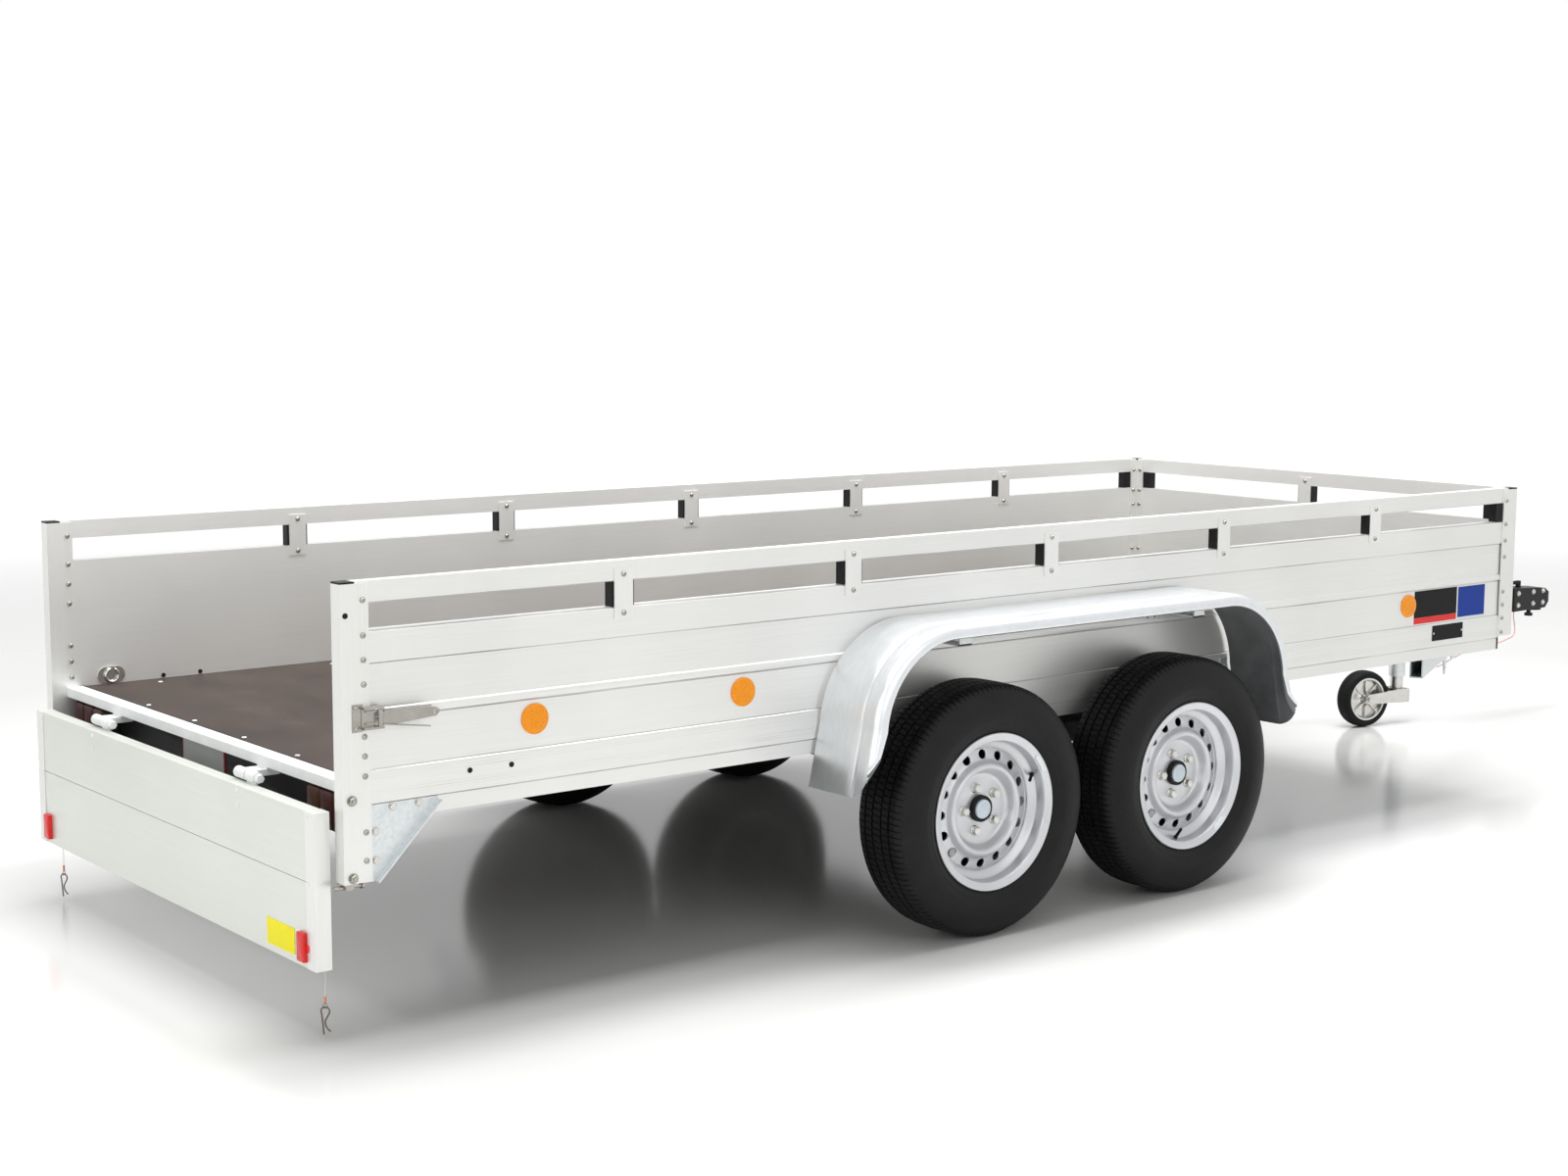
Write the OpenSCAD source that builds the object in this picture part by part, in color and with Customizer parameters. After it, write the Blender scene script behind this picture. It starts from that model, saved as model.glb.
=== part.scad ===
// Twin-axle flat-bed farm trailer with plank walls, a lashing rail and a drop-down tailgate.
// Frame: +X points to the drawbar, +Y to the left side, +Z up, ground at Z = 0.

/* [Load bed] */
// Width over the corner posts
bed_w = 1598; // [1400:2:1900]
// Length over the corner posts
bed_l = 4080; // [3700:10:4700]
// Height of the deck above the ground
deck_z = 544; // [530:1:580]
// Thickness of the deck board
deck_t = 15; // [12:1:18]
// Thickness of the plank walls
wall_t = 28.5; // [24:0.5:34]
// Height of the plank walls above the bottom rails
wall_h = 293; // [240:1:350]
// Height of the bottom rails
sill_h = 107; // [100:1:120]
// Height of the open lashing gap
gap_h = 57; // [45:1:70]
// Height of the top rail
rail_h = 46; // [38:1:55]
// Number of bays along each side rail
bay_count = 6; // [4:1:8]

/* [Posts] */
// Length of a post along the wall
post_l = 66; // [60:1:76]
// Size of the post's tube along the wall
post_tube = 34.5; // [30:0.5:40]
// Thickness of the post's flanges
flange_t = 4; // [3:0.5:5]
// Foot of the rear posts above the ground
rear_foot_z = 347; // [320:1:370]

/* [Wheels] */
// Radius of the tyres
tyre_r = 313.5; // [300:0.5:320]
// Section width of the tyres
tyre_w = 186; // [175:1:195]
// Distance from the rear face of the posts to the rear axle
rear_axle_x = 1653; // [1500:1:1800]
// Distance between the two axles
axle_gap = 709; // [680:1:760]
// Clearance from the posts to the tyres
tyre_clear = 33; // [31:1:45]

/* [Tailgate] */
// Height of the tailgate
gate_h = 336; // [280:1:340]
// Thickness of the tailgate at its end caps
gate_t = 37; // [32:1:40]
// Clearance between the tailgate and each post
gate_clear = 8; // [4:1:12]

/* [Drawbar] */
// Length of the drawbar from the front of the bed to the coupling's nose
drawbar_l = 1370; // [1250:10:1500]
// Height of the ball socket's centre line above the ground
coupling_z = 449; // [430:1:455]
// Radius of the coupling's ball socket
socket_r = 25.1; // [25.1:0.1:25.4]
// Radius of the jockey wheel
jockey_r = 103; // [90:1:110]

/* [Hidden] */

$fn = 48;
eps = 0.1;            // cutters run this far past a face
touch = 0.3;          // running clearance between moving pieces
skin = 2.5;           // wall of the aluminium extrusions

// heights
sill_z = deck_z - 71;                 // underside of the bottom rails
sill_top = sill_z + sill_h;
wall_top = sill_top + wall_h;
rail_z = wall_top + gap_h;            // underside of the top rail
top_z = rail_z + rail_h;
beam_h = 80;
beam_z = sill_z - beam_h;             // underside of the chassis beams
front_foot_z = sill_z + 41;

// widths, all measured from the centre plane
post_y = bed_w / 2;                   // outer face of the posts
out_y = post_y - flange_t;            // outer face of the walls
in_y = out_y - wall_t;                // inner face of the walls
post_in = in_y - flange_t;            // inner face of the posts
post_d = post_y - post_in;            // depth of the posts across the wall
recess = 3.5;                         // depth of the plank's recessed bands
ledge = 25;                           // width of the bottom rail's ledges

// lengths
bar_x = 40;                           // rear face of the crossbar
bar_w = 40;
bar_h = 24;
front_out = bed_l - flange_t;         // outer face of the front wall
front_in = front_out - wall_t;
bay = (bed_l - post_l) / bay_count;   // pitch of the rail straps
strap_w = 50;
strap_t = 3;
strap_lap = 27;                       // overlap of a strap on rail and wall
spacer_w = 60;

// tailgate
hinge_x = -4;
hinge_z = deck_z - 34;
hinge_y = 398;                        // place of the two gate hinges
hinge_r = 13;
gate_front = hinge_x - 4.5;           // face towards the bed, gate hanging
gate_back = gate_front - gate_t;
gate_top = hinge_z - 14;
gate_z = gate_top - gate_h;
gate_inset = 2;                       // planks lie this far inside the end caps' faces
gate_y = post_in - gate_clear;
gate_seam = gate_top - 0.45 * gate_h;
reflector_t = 8;

// wheels
wheel_y = post_y + tyre_clear + tyre_w / 2;
front_axle_x = rear_axle_x + axle_gap;
rim_r = 195.5;
tube_dx = 140;                        // torsion tube ahead of the wheel centre
tube_z = beam_z - 40;
tube_half = 40;
shaft_r = 30;
arm_in = -(wheel_y - post_y - 1);     // inner face of the swing arms, from the wheel plane
arm_t = 24;

// mudguards
guard_out = wheel_y + 87;             // outer edge
guard_top = tyre_r + 470;
guard_low = 396;
guard_mid = (rear_axle_x + front_axle_x) / 2;
guard_half = axle_gap / 2 + 420;      // half length at the foot
guard_lip = 28;

// drawbar
nose_x = bed_l + drawbar_l;
head_l = 220;
head_x = nose_x - head_l;
stroke = 90;                          // travel of the overrun shaft
shaft_bore_r = 22 + touch;
arm_a = [bed_l - 330, 690];           // rear end of a drawbar arm
arm_b = [nose_x - 460, 64];           // front end of a drawbar arm
arm_w = 40;
slope = atan2(arm_b[1] - arm_a[1], arm_b[0] - arm_a[0]);
arm_len = norm(arm_b - arm_a);
housing_x = arm_b[0] - 70;            // rear end of the overrun housing
shaft_x = housing_x + 152;            // rear end of the coupling's shaft
brake_x = housing_x + 45;             // pivot of the handbrake lever
brake_z = coupling_z + 56;

// jockey wheel
jockey_x = nose_x - 598;
jockey_y = 193;
trail = 157;                          // swivel axis to wheel centre
trail_turn = 12;                      // the wheel trails this many degrees off the X axis
sleeve_r = 30;
stem_r = 24;
stem_z = jockey_r + 29;
sleeve_z = stem_z + 44;
sleeve_h = 424;
clamp_y = cos(slope) * (jockey_y - arm_a[1] - (jockey_x - arm_a[0]) * tan(slope)) - arm_w / 2;

// whole model
x_rear = gate_back - reflector_t;
x_mid = (nose_x + x_rear) / 2;

post_screw_z = [top_z - 39, wall_top - 9, wall_top - 60, wall_top - 111, wall_top - 220,
                sill_top + 32, sill_top - 10];
strap_x = [for (i = [1 : bay_count - 1]) post_l / 2 + i * bay];
cross_x = [330, 950, 1560, 2010, 2720, 3330, bed_l - 150];

module both() {
  children();
  mirror([0, 1, 0]) children();
}

module placed() translate([-x_mid, 0, 0]) children();

module box(lo, hi) translate(lo) cube(hi - lo);

// ---------- planks, rails and posts ----------

// section of a plank wall: x runs outwards from the inner face, y up from the bottom rail
module plank_section() {
  band = wall_h - 70;
  rib = 108;
  difference() {
    polygon([[0, 0], [wall_t - recess, 0], [wall_t - recess, rib], [wall_t - 0.6, rib + 3],
      [wall_t, rib + 10], [wall_t - 0.6, rib + 18], [wall_t - recess, rib + 21],
      [wall_t - recess, band], [wall_t, band + 2], [wall_t, wall_h - 4],
      [wall_t - 3, wall_h], [0, wall_h]]);
    for (i = [0 : 3])
      translate([skin, skin + i * wall_h / 4])
        square([wall_t - recess - 2 * skin, wall_h / 4 - 2 * skin]);
  }
}

// section of a bottom rail, x outwards and y up from its underside
module sill_section() {
  difference() {
    union() {
      polygon([[0, 0], [wall_t - 2, 0], [wall_t - 2, 34], [wall_t, 36],
        [wall_t, sill_h - 2], [wall_t - 2, sill_h], [0, sill_h]]);
      translate([-ledge, 0]) square([ledge + eps, 6]);
      translate([-ledge, deck_z - deck_t - sill_z - 8]) square([ledge + eps, 8]);
    }
    for (i = [0, 1])
      translate([skin, skin + i * sill_h / 2])
        square([wall_t - 2 * skin - 2, sill_h / 2 - 2 * skin]);
  }
}

module rail_section() difference() {
  square([wall_t, rail_h]);
  translate([skin, skin]) square([wall_t - 2 * skin, rail_h - 2 * skin]);
}

// sweeps a section along the right side, from x0 to x1
module along_side(x0, x1, z) translate([x0, -in_y, z])
  rotate([90, 0, 90]) mirror([1, 0]) linear_extrude(x1 - x0) children();

// sweeps a section across the front, outer face forwards
module along_front(half, z) translate([front_in, half, z])
  rotate([90, 0, 0]) linear_extrude(2 * half) children();

module wall_side() color("gainsboro") along_side(post_tube, bed_l - post_d, sill_top)
  plank_section();

module wall_front() color("gainsboro") along_front(post_in, sill_top) plank_section();

module bottom_rails() color("silver") {
  both() difference() {
    along_side(post_tube, bed_l - post_l, sill_z) sill_section();
    // the ledges stop short of the crossbar
    box([post_tube - eps, -in_y, sill_z - eps], [bar_x + bar_w + 0.5, -in_y + ledge + eps, deck_z]);
  }
  along_front(post_in - ledge - 8, sill_z) sill_section();
}

module top_rails() color("gainsboro") {
  both() along_side(post_tube, bed_l - post_d, rail_z) rail_section();
  along_front(post_in, rail_z) rail_section();
}

// section of a rear post, x along the wall and y outwards from the post's inner face
module post_section() {
  difference() {
    square([post_tube, post_d]);
    translate([skin, skin]) square([post_tube - 2 * skin, post_d - 2 * skin]);
  }
  for (y = [0, post_d - flange_t])
    translate([post_tube - eps, y]) square([post_l - post_tube + eps, flange_t]);
}

module rear_posts() color("gainsboro") both()
  translate([0, -post_in, rear_foot_z]) mirror([0, 1, 0])
    linear_extrude(top_z - 4 - rear_foot_z) post_section();

module front_post_section() {
  translate([bed_l - post_d, -post_y]) difference() {
    square(post_d);
    translate([skin, skin]) square(post_d - 2 * skin);
  }
  reach = post_l - post_d;
  for (y = [-post_y, -in_y])
    translate([bed_l - post_l, y]) square([reach + eps, flange_t]);
  for (x = [bed_l - flange_t, front_in - flange_t])
    translate([x, -post_in - eps]) square([flange_t, reach]);
}

module front_posts() color("gainsboro") both()
  translate([0, 0, front_foot_z]) linear_extrude(top_z - 4 - front_foot_z)
    front_post_section();

module end_caps() color([0.08, 0.08, 0.08]) both() {
  box([0, -post_y, top_z - 4], [post_tube, -post_in, top_z]);
  box([bed_l - post_d, -post_y, top_z - 4], [bed_l, -post_in, top_z]);
  box([bed_l - post_l, -out_y, sill_z], [bed_l - post_l + 4, -in_y + ledge, sill_z + 40]);
  // plugs in the post and the bottom rail
  translate([12.5, -post_y, top_z - 69]) rotate([90, 0, 0]) cylinder(h = 1, r = 6);
  for (x = [304, 408]) translate([x, -out_y, sill_top - 29])
    rotate([90, 0, 0]) cylinder(h = 1, r = 6);
  for (x = [304, 408]) translate([x, -in_y + 1, sill_top - 29])
    rotate([90, 0, 0]) cylinder(h = 1, r = 6);
}

module rail_spacers() color([0.08, 0.08, 0.08]) {
  for (x = strap_x) both()
    box([x - spacer_w / 2, -out_y + 1, wall_top], [x + spacer_w / 2, -in_y - 1, rail_z]);
  box([front_in + 1, -spacer_w / 2, wall_top], [front_out - 1, spacer_w / 2, rail_z]);
  both() {
    box([bed_l - post_l - 32, -out_y + 1, wall_top], [bed_l - post_l, -in_y - 1, rail_z]);
    box([front_in + 1, -post_in + post_l - post_d, wall_top],
      [front_out - 1, -post_in + post_l - post_d + 32, rail_z]);
  }
}

module rail_straps() color("silver") {
  for (x = strap_x) both() for (y = [-out_y - strap_t, -in_y])
    box([x - strap_w / 2, y, wall_top - strap_lap],
      [x + strap_w / 2, y + strap_t, rail_z + strap_lap]);
  for (x = [front_in - strap_t, front_out])
    box([x, -strap_w / 2, wall_top - strap_lap], [x + strap_t, strap_w / 2, rail_z + strap_lap]);
}

// pan-head screw, its head pointing along +Z from the seat
module screw(r = 5.5, h = 4) {
  cylinder(h = 1, r = r + 1.5);
  cylinder(h = h, r1 = r, r2 = r * 0.6);
}

// screws on a face that looks to the right side
module side_screws(x, y, heights, r = 5.5, h = 4) for (z = heights)
  translate([x, y, z]) rotate([90, 0, 0]) screw(r, h);

module frame_screws() color("lightgray") {
  both() {
    side_screws(52.5, -post_y, concat(post_screw_z, [rear_foot_z + 105, rear_foot_z + 45]));
    side_screws(20.5, -post_y, [deck_z - 22, rear_foot_z + 12], 9, 12);
    side_screws(bed_l - 52.5, -post_y, concat(post_screw_z, [front_foot_z + 12]));
    for (x = [52.5, bed_l - 52.5], z = post_screw_z)
      translate([x, -post_in, z]) rotate([-90, 0, 0]) screw();
    for (y = [-post_in + 15], z = post_screw_z)
      translate([front_in - flange_t, y, z]) rotate([0, -90, 0]) screw();
    for (y = [-post_in + 15], z = post_screw_z)
      translate([bed_l, y, z]) rotate([0, 90, 0]) screw();
    for (x = strap_x, z = [wall_top - 15, rail_z + 15]) {
      translate([x, -out_y - strap_t, z]) rotate([90, 0, 0]) screw();
      translate([x, -in_y + strap_t, z]) rotate([-90, 0, 0]) screw();
    }
    // flat-headed deck screws beside the walls
    for (x = [270 : 500 : bed_l - 200]) translate([x, -in_y + 58, deck_z]) cylinder(h = 1.5, r = 6);
    for (y = [-hinge_y, -hinge_y / 3]) translate([bar_x + bar_w + 22, y, deck_z])
      cylinder(h = 1.5, r = 6);
  }
  for (z = [wall_top - 15, rail_z + 15]) {
    translate([front_out + strap_t, 0, z]) rotate([0, 90, 0]) screw();
    translate([front_in - strap_t, 0, z]) rotate([0, -90, 0]) screw();
  }
}

// ---------- deck and underframe ----------

module deck_board() color([0.3, 0.22, 0.18]) difference() {
  box([bar_x + bar_w, -in_y + 0.5, deck_z - deck_t],
    [front_in - flange_t - 0.5, in_y - 0.5, deck_z]);
  // corners cut round the flanges of the front posts
  both() box([bed_l - post_l - 0.5, -in_y, deck_z - deck_t - eps],
    [bed_l, -post_in + 0.5, deck_z + eps]);
}

// crossbar under the rear edge of the deck, with the fixed hinge knuckles and pins
module rear_crossbar() color("whitesmoke") {
  difference() {
    box([bar_x, -post_in, deck_z + 1 - bar_h], [bar_x + bar_w, post_in, deck_z + 1]);
    box([bar_x + skin, -post_in - eps, deck_z + 1 - bar_h + skin],
      [bar_x + bar_w - skin, post_in + eps, deck_z + 1 - skin]);
  }
  box([bar_x + bar_w, -in_y + ledge, deck_z - deck_t - 8],
    [bar_x + bar_w + 40, in_y - ledge, deck_z - deck_t]);
  for (y = [-hinge_y, hinge_y]) translate([hinge_x, y, hinge_z]) {
    difference() {
      union() {
        translate([0, 74, 0]) rotate([90, 0, 0]) cylinder(h = 50, r = hinge_r);
        translate([0, 24, -7]) cube([bar_x - hinge_x, 50, 14]);
        translate([bar_x - hinge_x, 24, -7]) cube([30, 50, 18]);
      }
      translate([0, 75, 0]) rotate([90, 0, 0]) cylinder(h = 52, r = 6);
    }
    // hinge bolt: pin, head and nut
    translate([0, 74, 0]) rotate([90, 0, 0]) cylinder(h = 98, r = 6);
    translate([0, -22, 0]) rotate([90, 0, 0]) cylinder(h = 3, r = 11);
    translate([0, -25, 0]) rotate([90, 0, 0]) cylinder(h = 9, r = 9.5, $fn = 6);
    translate([0, 82, 0]) rotate([90, 0, 0]) cylinder(h = 8, r = 9.5, $fn = 6);
  }
}

// folded plate that stiffens the rear corner, behind the post's outer flange
module corner_gussets() color("lightsteelblue") both() {
  top = sill_z + 34;
  foot = rear_foot_z - 2;
  nose = 226;
  edge = post_l + 6;
  translate([0, -out_y + 2, 0]) rotate([90, 0, 0]) linear_extrude(2)
    polygon([[post_tube + 6, foot], [edge, foot], [nose, top - 6], [nose, top],
      [post_tube + 6, top]]);
  // folded edge
  fold = norm([nose - edge, top - 6 - foot]);
  turn = atan2(top - 6 - foot, nose - edge);
  translate([edge, -out_y - 18, foot]) rotate([0, -turn, 0])
    translate([0.5, 0, -2.5]) cube([fold - 1, 19, 3]);
  for (at = [[117, top - 9], [179, top - 9], [post_l + 9, rear_foot_z + 103],
      [post_l + 9, rear_foot_z + 42]])
    translate([at[0], -out_y, at[1]]) rotate([90, 0, 0]) cylinder(h = 6, r = 7.5, $fn = 6);
}

module chassis_beams() color("slategray") {
  both() difference() {
    box([110, -585, beam_z], [bed_l - 380, -535, sill_z]);
    box([110 - eps, -580, beam_z + 5], [bed_l, -535 + eps, sill_z - 5]);
  }
  for (x = cross_x) difference() {
    box([x - 30, -in_y + ledge + 0.5, sill_z + touch],
      [x + 30, in_y - ledge - 0.5, deck_z - deck_t]);
    box([x - 26, -in_y, sill_z + 4], [x + 26, in_y, deck_z - deck_t - 4]);
  }
}

module drawbar_arms() color("lightsteelblue") both() {
  translate([arm_a[0], -arm_a[1], beam_z]) rotate([0, 0, -slope]) difference() {
    translate([0, -arm_w / 2, 0]) cube([arm_len, arm_w, beam_h]);
    translate([-eps, -arm_w / 2 + 4, 4]) cube([arm_len + 1, arm_w - 8, beam_h - 8]);
  }
  // triangular cable plate and stay plate under the arm
  translate([arm_a[0], -arm_a[1], beam_z]) rotate([0, 0, -slope]) {
    translate([520, 2, 0]) rotate([90, 0, 0]) linear_extrude(4) difference() {
      polygon([[0, 0], [90, 0], [60, -62], [40, -70]]);
      translate([48, -50]) circle(r = 6);
    }
    translate([680, 2, 0]) rotate([90, 0, 0]) linear_extrude(4)
      polygon([[0, 0], [105, 0], [105, -48], [25, -42]]);
  }
}

module overrun_housing() color([0.75, 0.78, 0.8]) {
  z = coupling_z;
  difference() {
    union() {
      translate([housing_x, 0, z]) rotate([0, 90, 0])
        cylinder(h = head_x - stroke - 10 - housing_x, r = 34);
      box([housing_x + 20, -40, beam_z + 4], [arm_b[0] - 20, 40, z]);
      box([arm_b[0] + 2, -44, beam_z], [arm_b[0] + 10, 44, z + 20]);
      // lugs for the handbrake lever
      for (y = [-20, 12]) box([housing_x + 20, y, z + 20], [brake_x + 25, y + 8, brake_z + 16]);
    }
    translate([shaft_x - stroke - 2, 0, z]) rotate([0, 90, 0])
      cylinder(h = head_l * 3, r = shaft_bore_r);
    translate([brake_x, 0, brake_z]) rotate([90, 0, 0])
      cylinder(h = 80, r = 6 + touch, center = true);
  }
}

module axle_beams() color("slategray") for (x = [rear_axle_x, front_axle_x])
  difference() {
    union() {
      box([x + tube_dx - tube_half, -post_y + 1, tube_z - tube_half],
        [x + tube_dx + tube_half, post_y - 1, tube_z + tube_half]);
      for (s = [-1, 1]) box([x + tube_dx - 70, s * 560 - 40, tube_z + tube_half - 8],
        [x + tube_dx + 70, s * 560 + 40, tube_z + tube_half]);
    }
    translate([x + tube_dx, 0, tube_z]) rotate([90, 0, 0])
      cylinder(h = 2 * post_y, r = shaft_r, center = true);
  }

module brake_linkage() color("darkgray") {
  z = beam_z + 16;
  translate([front_axle_x + 200, 0, z]) rotate([0, 90, 0])
    cylinder(h = housing_x + 20 - front_axle_x - 200, r = 5);
  box([front_axle_x + 190, -130, z - 6], [front_axle_x + 200, 130, z + 6]);
  for (x = [cross_x[4], cross_x[5]]) difference() {
    box([x - 20, -12, z - 12], [x - 16, 12, sill_z]);
    translate([x - 30, 0, z]) rotate([0, 90, 0]) cylinder(h = 30, r = 5);
  }
  for (s = [-1, 1]) translate([front_axle_x + 190, s * 110, z]) rotate([0, -90, 0])
    cylinder(h = 60, r = 4);
}

// ---------- mudguards, lamps and reflectors ----------

// outline of a mudguard seen from the side, inset by d
function guard_points(d, n = 14) = let(
    r = 250 - d, x0 = guard_half - d, top = guard_top - d, lean = 34, cz = top - r,
    cx = x0 - lean - r)
  concat([[-x0, guard_low]],
    [for (i = [0 : n]) let(a = 176 - i * 86 / n) [-cx + r * cos(a), cz + r * sin(a)]],
    [for (i = [0 : n]) let(a = 90 - i * 86 / n) [cx + r * cos(a), cz + r * sin(a)]],
    [[x0, guard_low]]);

module guard_band(depth) difference() {
  polygon(guard_points(0));
  difference() {
    polygon(guard_points(depth));
    translate([-guard_half, guard_low - 10]) square([2 * guard_half, 10 - eps]);
  }
  translate([-guard_half, guard_low - 10]) square([2 * guard_half, 10]);
}

module mudguards() color([0.8, 0.82, 0.84]) both() {
  translate([guard_mid, -post_y - 1, 0]) rotate([90, 0, 0])
    linear_extrude(guard_out - post_y - 1) guard_band(2.5);
  translate([guard_mid, -guard_out + 3, 0]) rotate([90, 0, 0]) linear_extrude(3)
    guard_band(guard_lip);
  // stays from the wall's recessed band to the top of the guard
  for (x = [guard_mid - 440, guard_mid + 400]) {
    box([x, -guard_out + 50, guard_top - 60], [x + 40, -out_y + recess, guard_top - 56]);
    box([x, -guard_out + 50, guard_top - 60], [x + 40, -guard_out + 54, guard_top - 2]);
  }
  for (s = [-1, 1]) translate([guard_mid + s * (guard_half - 24), 0, 0])
    box([-12, -post_y - 1, sill_z + 45], [12, -out_y, sill_z + 95]);
}

module side_reflectors() color("orange") both()
  for (x = [470, 1041, bed_l - 1200, bed_l - 522])
    translate([x, -out_y + recess, sill_top + 64]) rotate([90, 0, 0]) {
      cylinder(h = 5, r = 34);
      cylinder(h = 7, r = 31);
    }

module rear_lamps() both() {
  color([0.1, 0.1, 0.1]) box([bar_x + 12, -735, deck_z + 1 - bar_h - 96],
    [bar_x + 52, -545, deck_z + 1 - bar_h]);
  color("darkred") box([bar_x + 4, -730, deck_z + 1 - bar_h - 90],
    [bar_x + 12, -550, deck_z + 1 - bar_h - 8]);
}

// ---------- side hardware ----------

latch_x = 84;
latch_z = 693;
latch_y = post_y + 12;

module latch_bases() color("silver") both() {
  box([24, -post_y - 2, latch_z - 29], [48, -post_y, latch_z + 29]);
  box([44, -post_y - 4, latch_z - 19], [latch_x - 8, -post_y - 1, latch_z + 19]);
  for (z = [latch_z - 24, latch_z + 18])
    box([44, -post_y - 16, z], [latch_x + 7, -post_y - 1, z + 5]);
  for (z = [latch_z - 22, latch_z + 22])
    translate([33, -post_y - 2, z]) rotate([90, 0, 0]) screw(4.5, 3);
  translate([latch_x, -latch_y, latch_z - 24]) cylinder(h = 48, r = 3);
  // bail hook lying along the lever
  for (z = [latch_z - 14, latch_z + 11])
    box([latch_x - 32, -post_y - 9, z], [latch_x - 8, -post_y - 4, z + 3]);
  // gate catch under the foot of the post, with the plate that closes the foot
  box([1, -post_y + 1, rear_foot_z - 3], [post_tube - 1, -post_in - 1, rear_foot_z]);
  box([8, -post_y + 8, rear_foot_z - 14], [26, -post_in - 6, rear_foot_z]);
  translate([-14, -post_y + 20, rear_foot_z - 9]) rotate([0, 90, 0]) cylinder(h = 62, r = 4.5);
  translate([48, -post_y + 20, rear_foot_z - 9]) rotate([0, 90, 0]) cylinder(h = 6, r = 8);
}

// over-centre lever, drawn for the right side
module latch_lever() color("silver") {
  difference() {
    union() {
      translate([latch_x, -latch_y, latch_z - 18.5]) cylinder(h = 36, r = 6);
      translate([0, -latch_y + 1.5, latch_z]) rotate([90, 0, 0]) linear_extrude(3) difference() {
        polygon([[latch_x, -17], [latch_x + 22, -19], [latch_x + 130, -11],
          [latch_x + 138, -4], [latch_x + 138, 2], [latch_x + 130, 8], [latch_x, 17]]);
        translate([latch_x + 128, -1.5]) circle(r = 4);
      }
      for (s = [-1, 1]) translate([latch_x + 4, -latch_y + 1, latch_z - 2])
        rotate([0, -s * 4 + 4, 0]) translate([0, -9, s * 14]) cube([112, 9, 2.5]);
    }
    translate([latch_x, -latch_y, latch_z - 30]) cylinder(h = 60, r = 3 + touch);
  }
}

ring_x = 160;
ring_z = 583;
ring_r = 17;
ring_y = in_y - 7.5;

module lashing_cups() color("silver") both() translate([ring_x, -in_y, ring_z - ring_r]) {
  for (x = [-15, 15]) translate([x, 0, 0]) rotate([-90, 0, 0]) cylinder(h = 3, r = 22);
  translate([-15, 0, -22]) cube([30, 3, 44]);
  difference() {
    translate([-5, 2, ring_r - 6.5]) cube([10, 11.5, 13]);
    translate([-6, 7.5, ring_r]) rotate([0, 90, 0]) cylinder(h = 12, r = 4.7);
  }
}

module lashing_ring() color("silver") translate([ring_x, -ring_y, ring_z - ring_r])
  rotate([90, 0, 0]) rotate_extrude() translate([ring_r, 0]) circle(r = 3.5, $fn = 24);

// ---------- tailgate ----------

module gate_planks() color("gainsboro") {
  for (z = [[gate_z, gate_seam - 0.6], [gate_seam + 0.6, gate_top]]) difference() {
    box([gate_back + gate_inset, -gate_y + 3, z[0]], [gate_front - gate_inset, gate_y - 3, z[1]]);
    box([gate_back + gate_inset + skin, -gate_y, z[0] + skin],
      [gate_front - gate_inset - skin, gate_y, z[1] - skin]);
  }
}

module gate_end_caps() color("gainsboro") both() difference() {
  box([gate_back, -gate_y, gate_z], [gate_front, -gate_y + 38, gate_top]);
  box([gate_back + gate_inset, -gate_y + 3, gate_z - 1],
    [gate_front - gate_inset, -gate_y + 39, gate_top + 1]);
}

module gate_hinge_leaves() color("whitesmoke") {
  for (y = [-hinge_y, hinge_y]) {
    difference() {
      union() {
        translate([hinge_x, y + 21, hinge_z]) rotate([90, 0, 0]) cylinder(h = 42, r = hinge_r);
        box([gate_front - gate_inset, y - 21, gate_top - 60], [gate_front + 4, y + 21, hinge_z]);
      }
      translate([hinge_x, y + 22, hinge_z]) rotate([90, 0, 0]) cylinder(h = 44, r = 6 + touch);
    }
    for (z = [gate_top - 12, gate_top - 43])
      translate([gate_back + gate_inset, y, z]) rotate([0, -90, 0]) screw(5, 3);
  }
  // flat rivets, which clear the crossbar when the gate is folded right over
  for (s = [-1, 1], z = [gate_top - 10, gate_seam - 3])
    translate([gate_back, s * (gate_y - 30), z]) rotate([0, -90, 0]) screw(5, 1.8);
}

module gate_reflectors() color("red") both()
  box([gate_back - reflector_t, -gate_y + 40, gate_z + 12],
    [gate_back + gate_inset, -gate_y + 82, gate_z + 75]);

// R-clips hang on short wires from the outer face of the gate
lanyard_y = 717;
lanyard_x = gate_front + 3.5;
lanyard_path = [[0, 0, 184.8], [0, 0, 178], [0.5, 0.5, 165], [1, 1, 150], [1, 2, 135], [1, 3, 120],
                [0.5, 4, 106], [0, 4, 98], [0, 4, 92]];
clip_y = 4;
ferrule_z = 77.8;
clip_z = 60;                          // centre of the clip's eye
eye_r = 9.5;
clip_r = 1.7;
clip_path = concat([[-4, 0, -50], [-5.4, 0, -34], [-7, 0, -18]],
  [for (a = [205 : -15 : -35]) [eye_r * cos(a), 0, eye_r * sin(a)]],
  [[3, 0, -14], [-0.5, 0, -21], [0.2, 0, -30], [5, 0, -38], [11, 0, -43]]);

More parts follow.
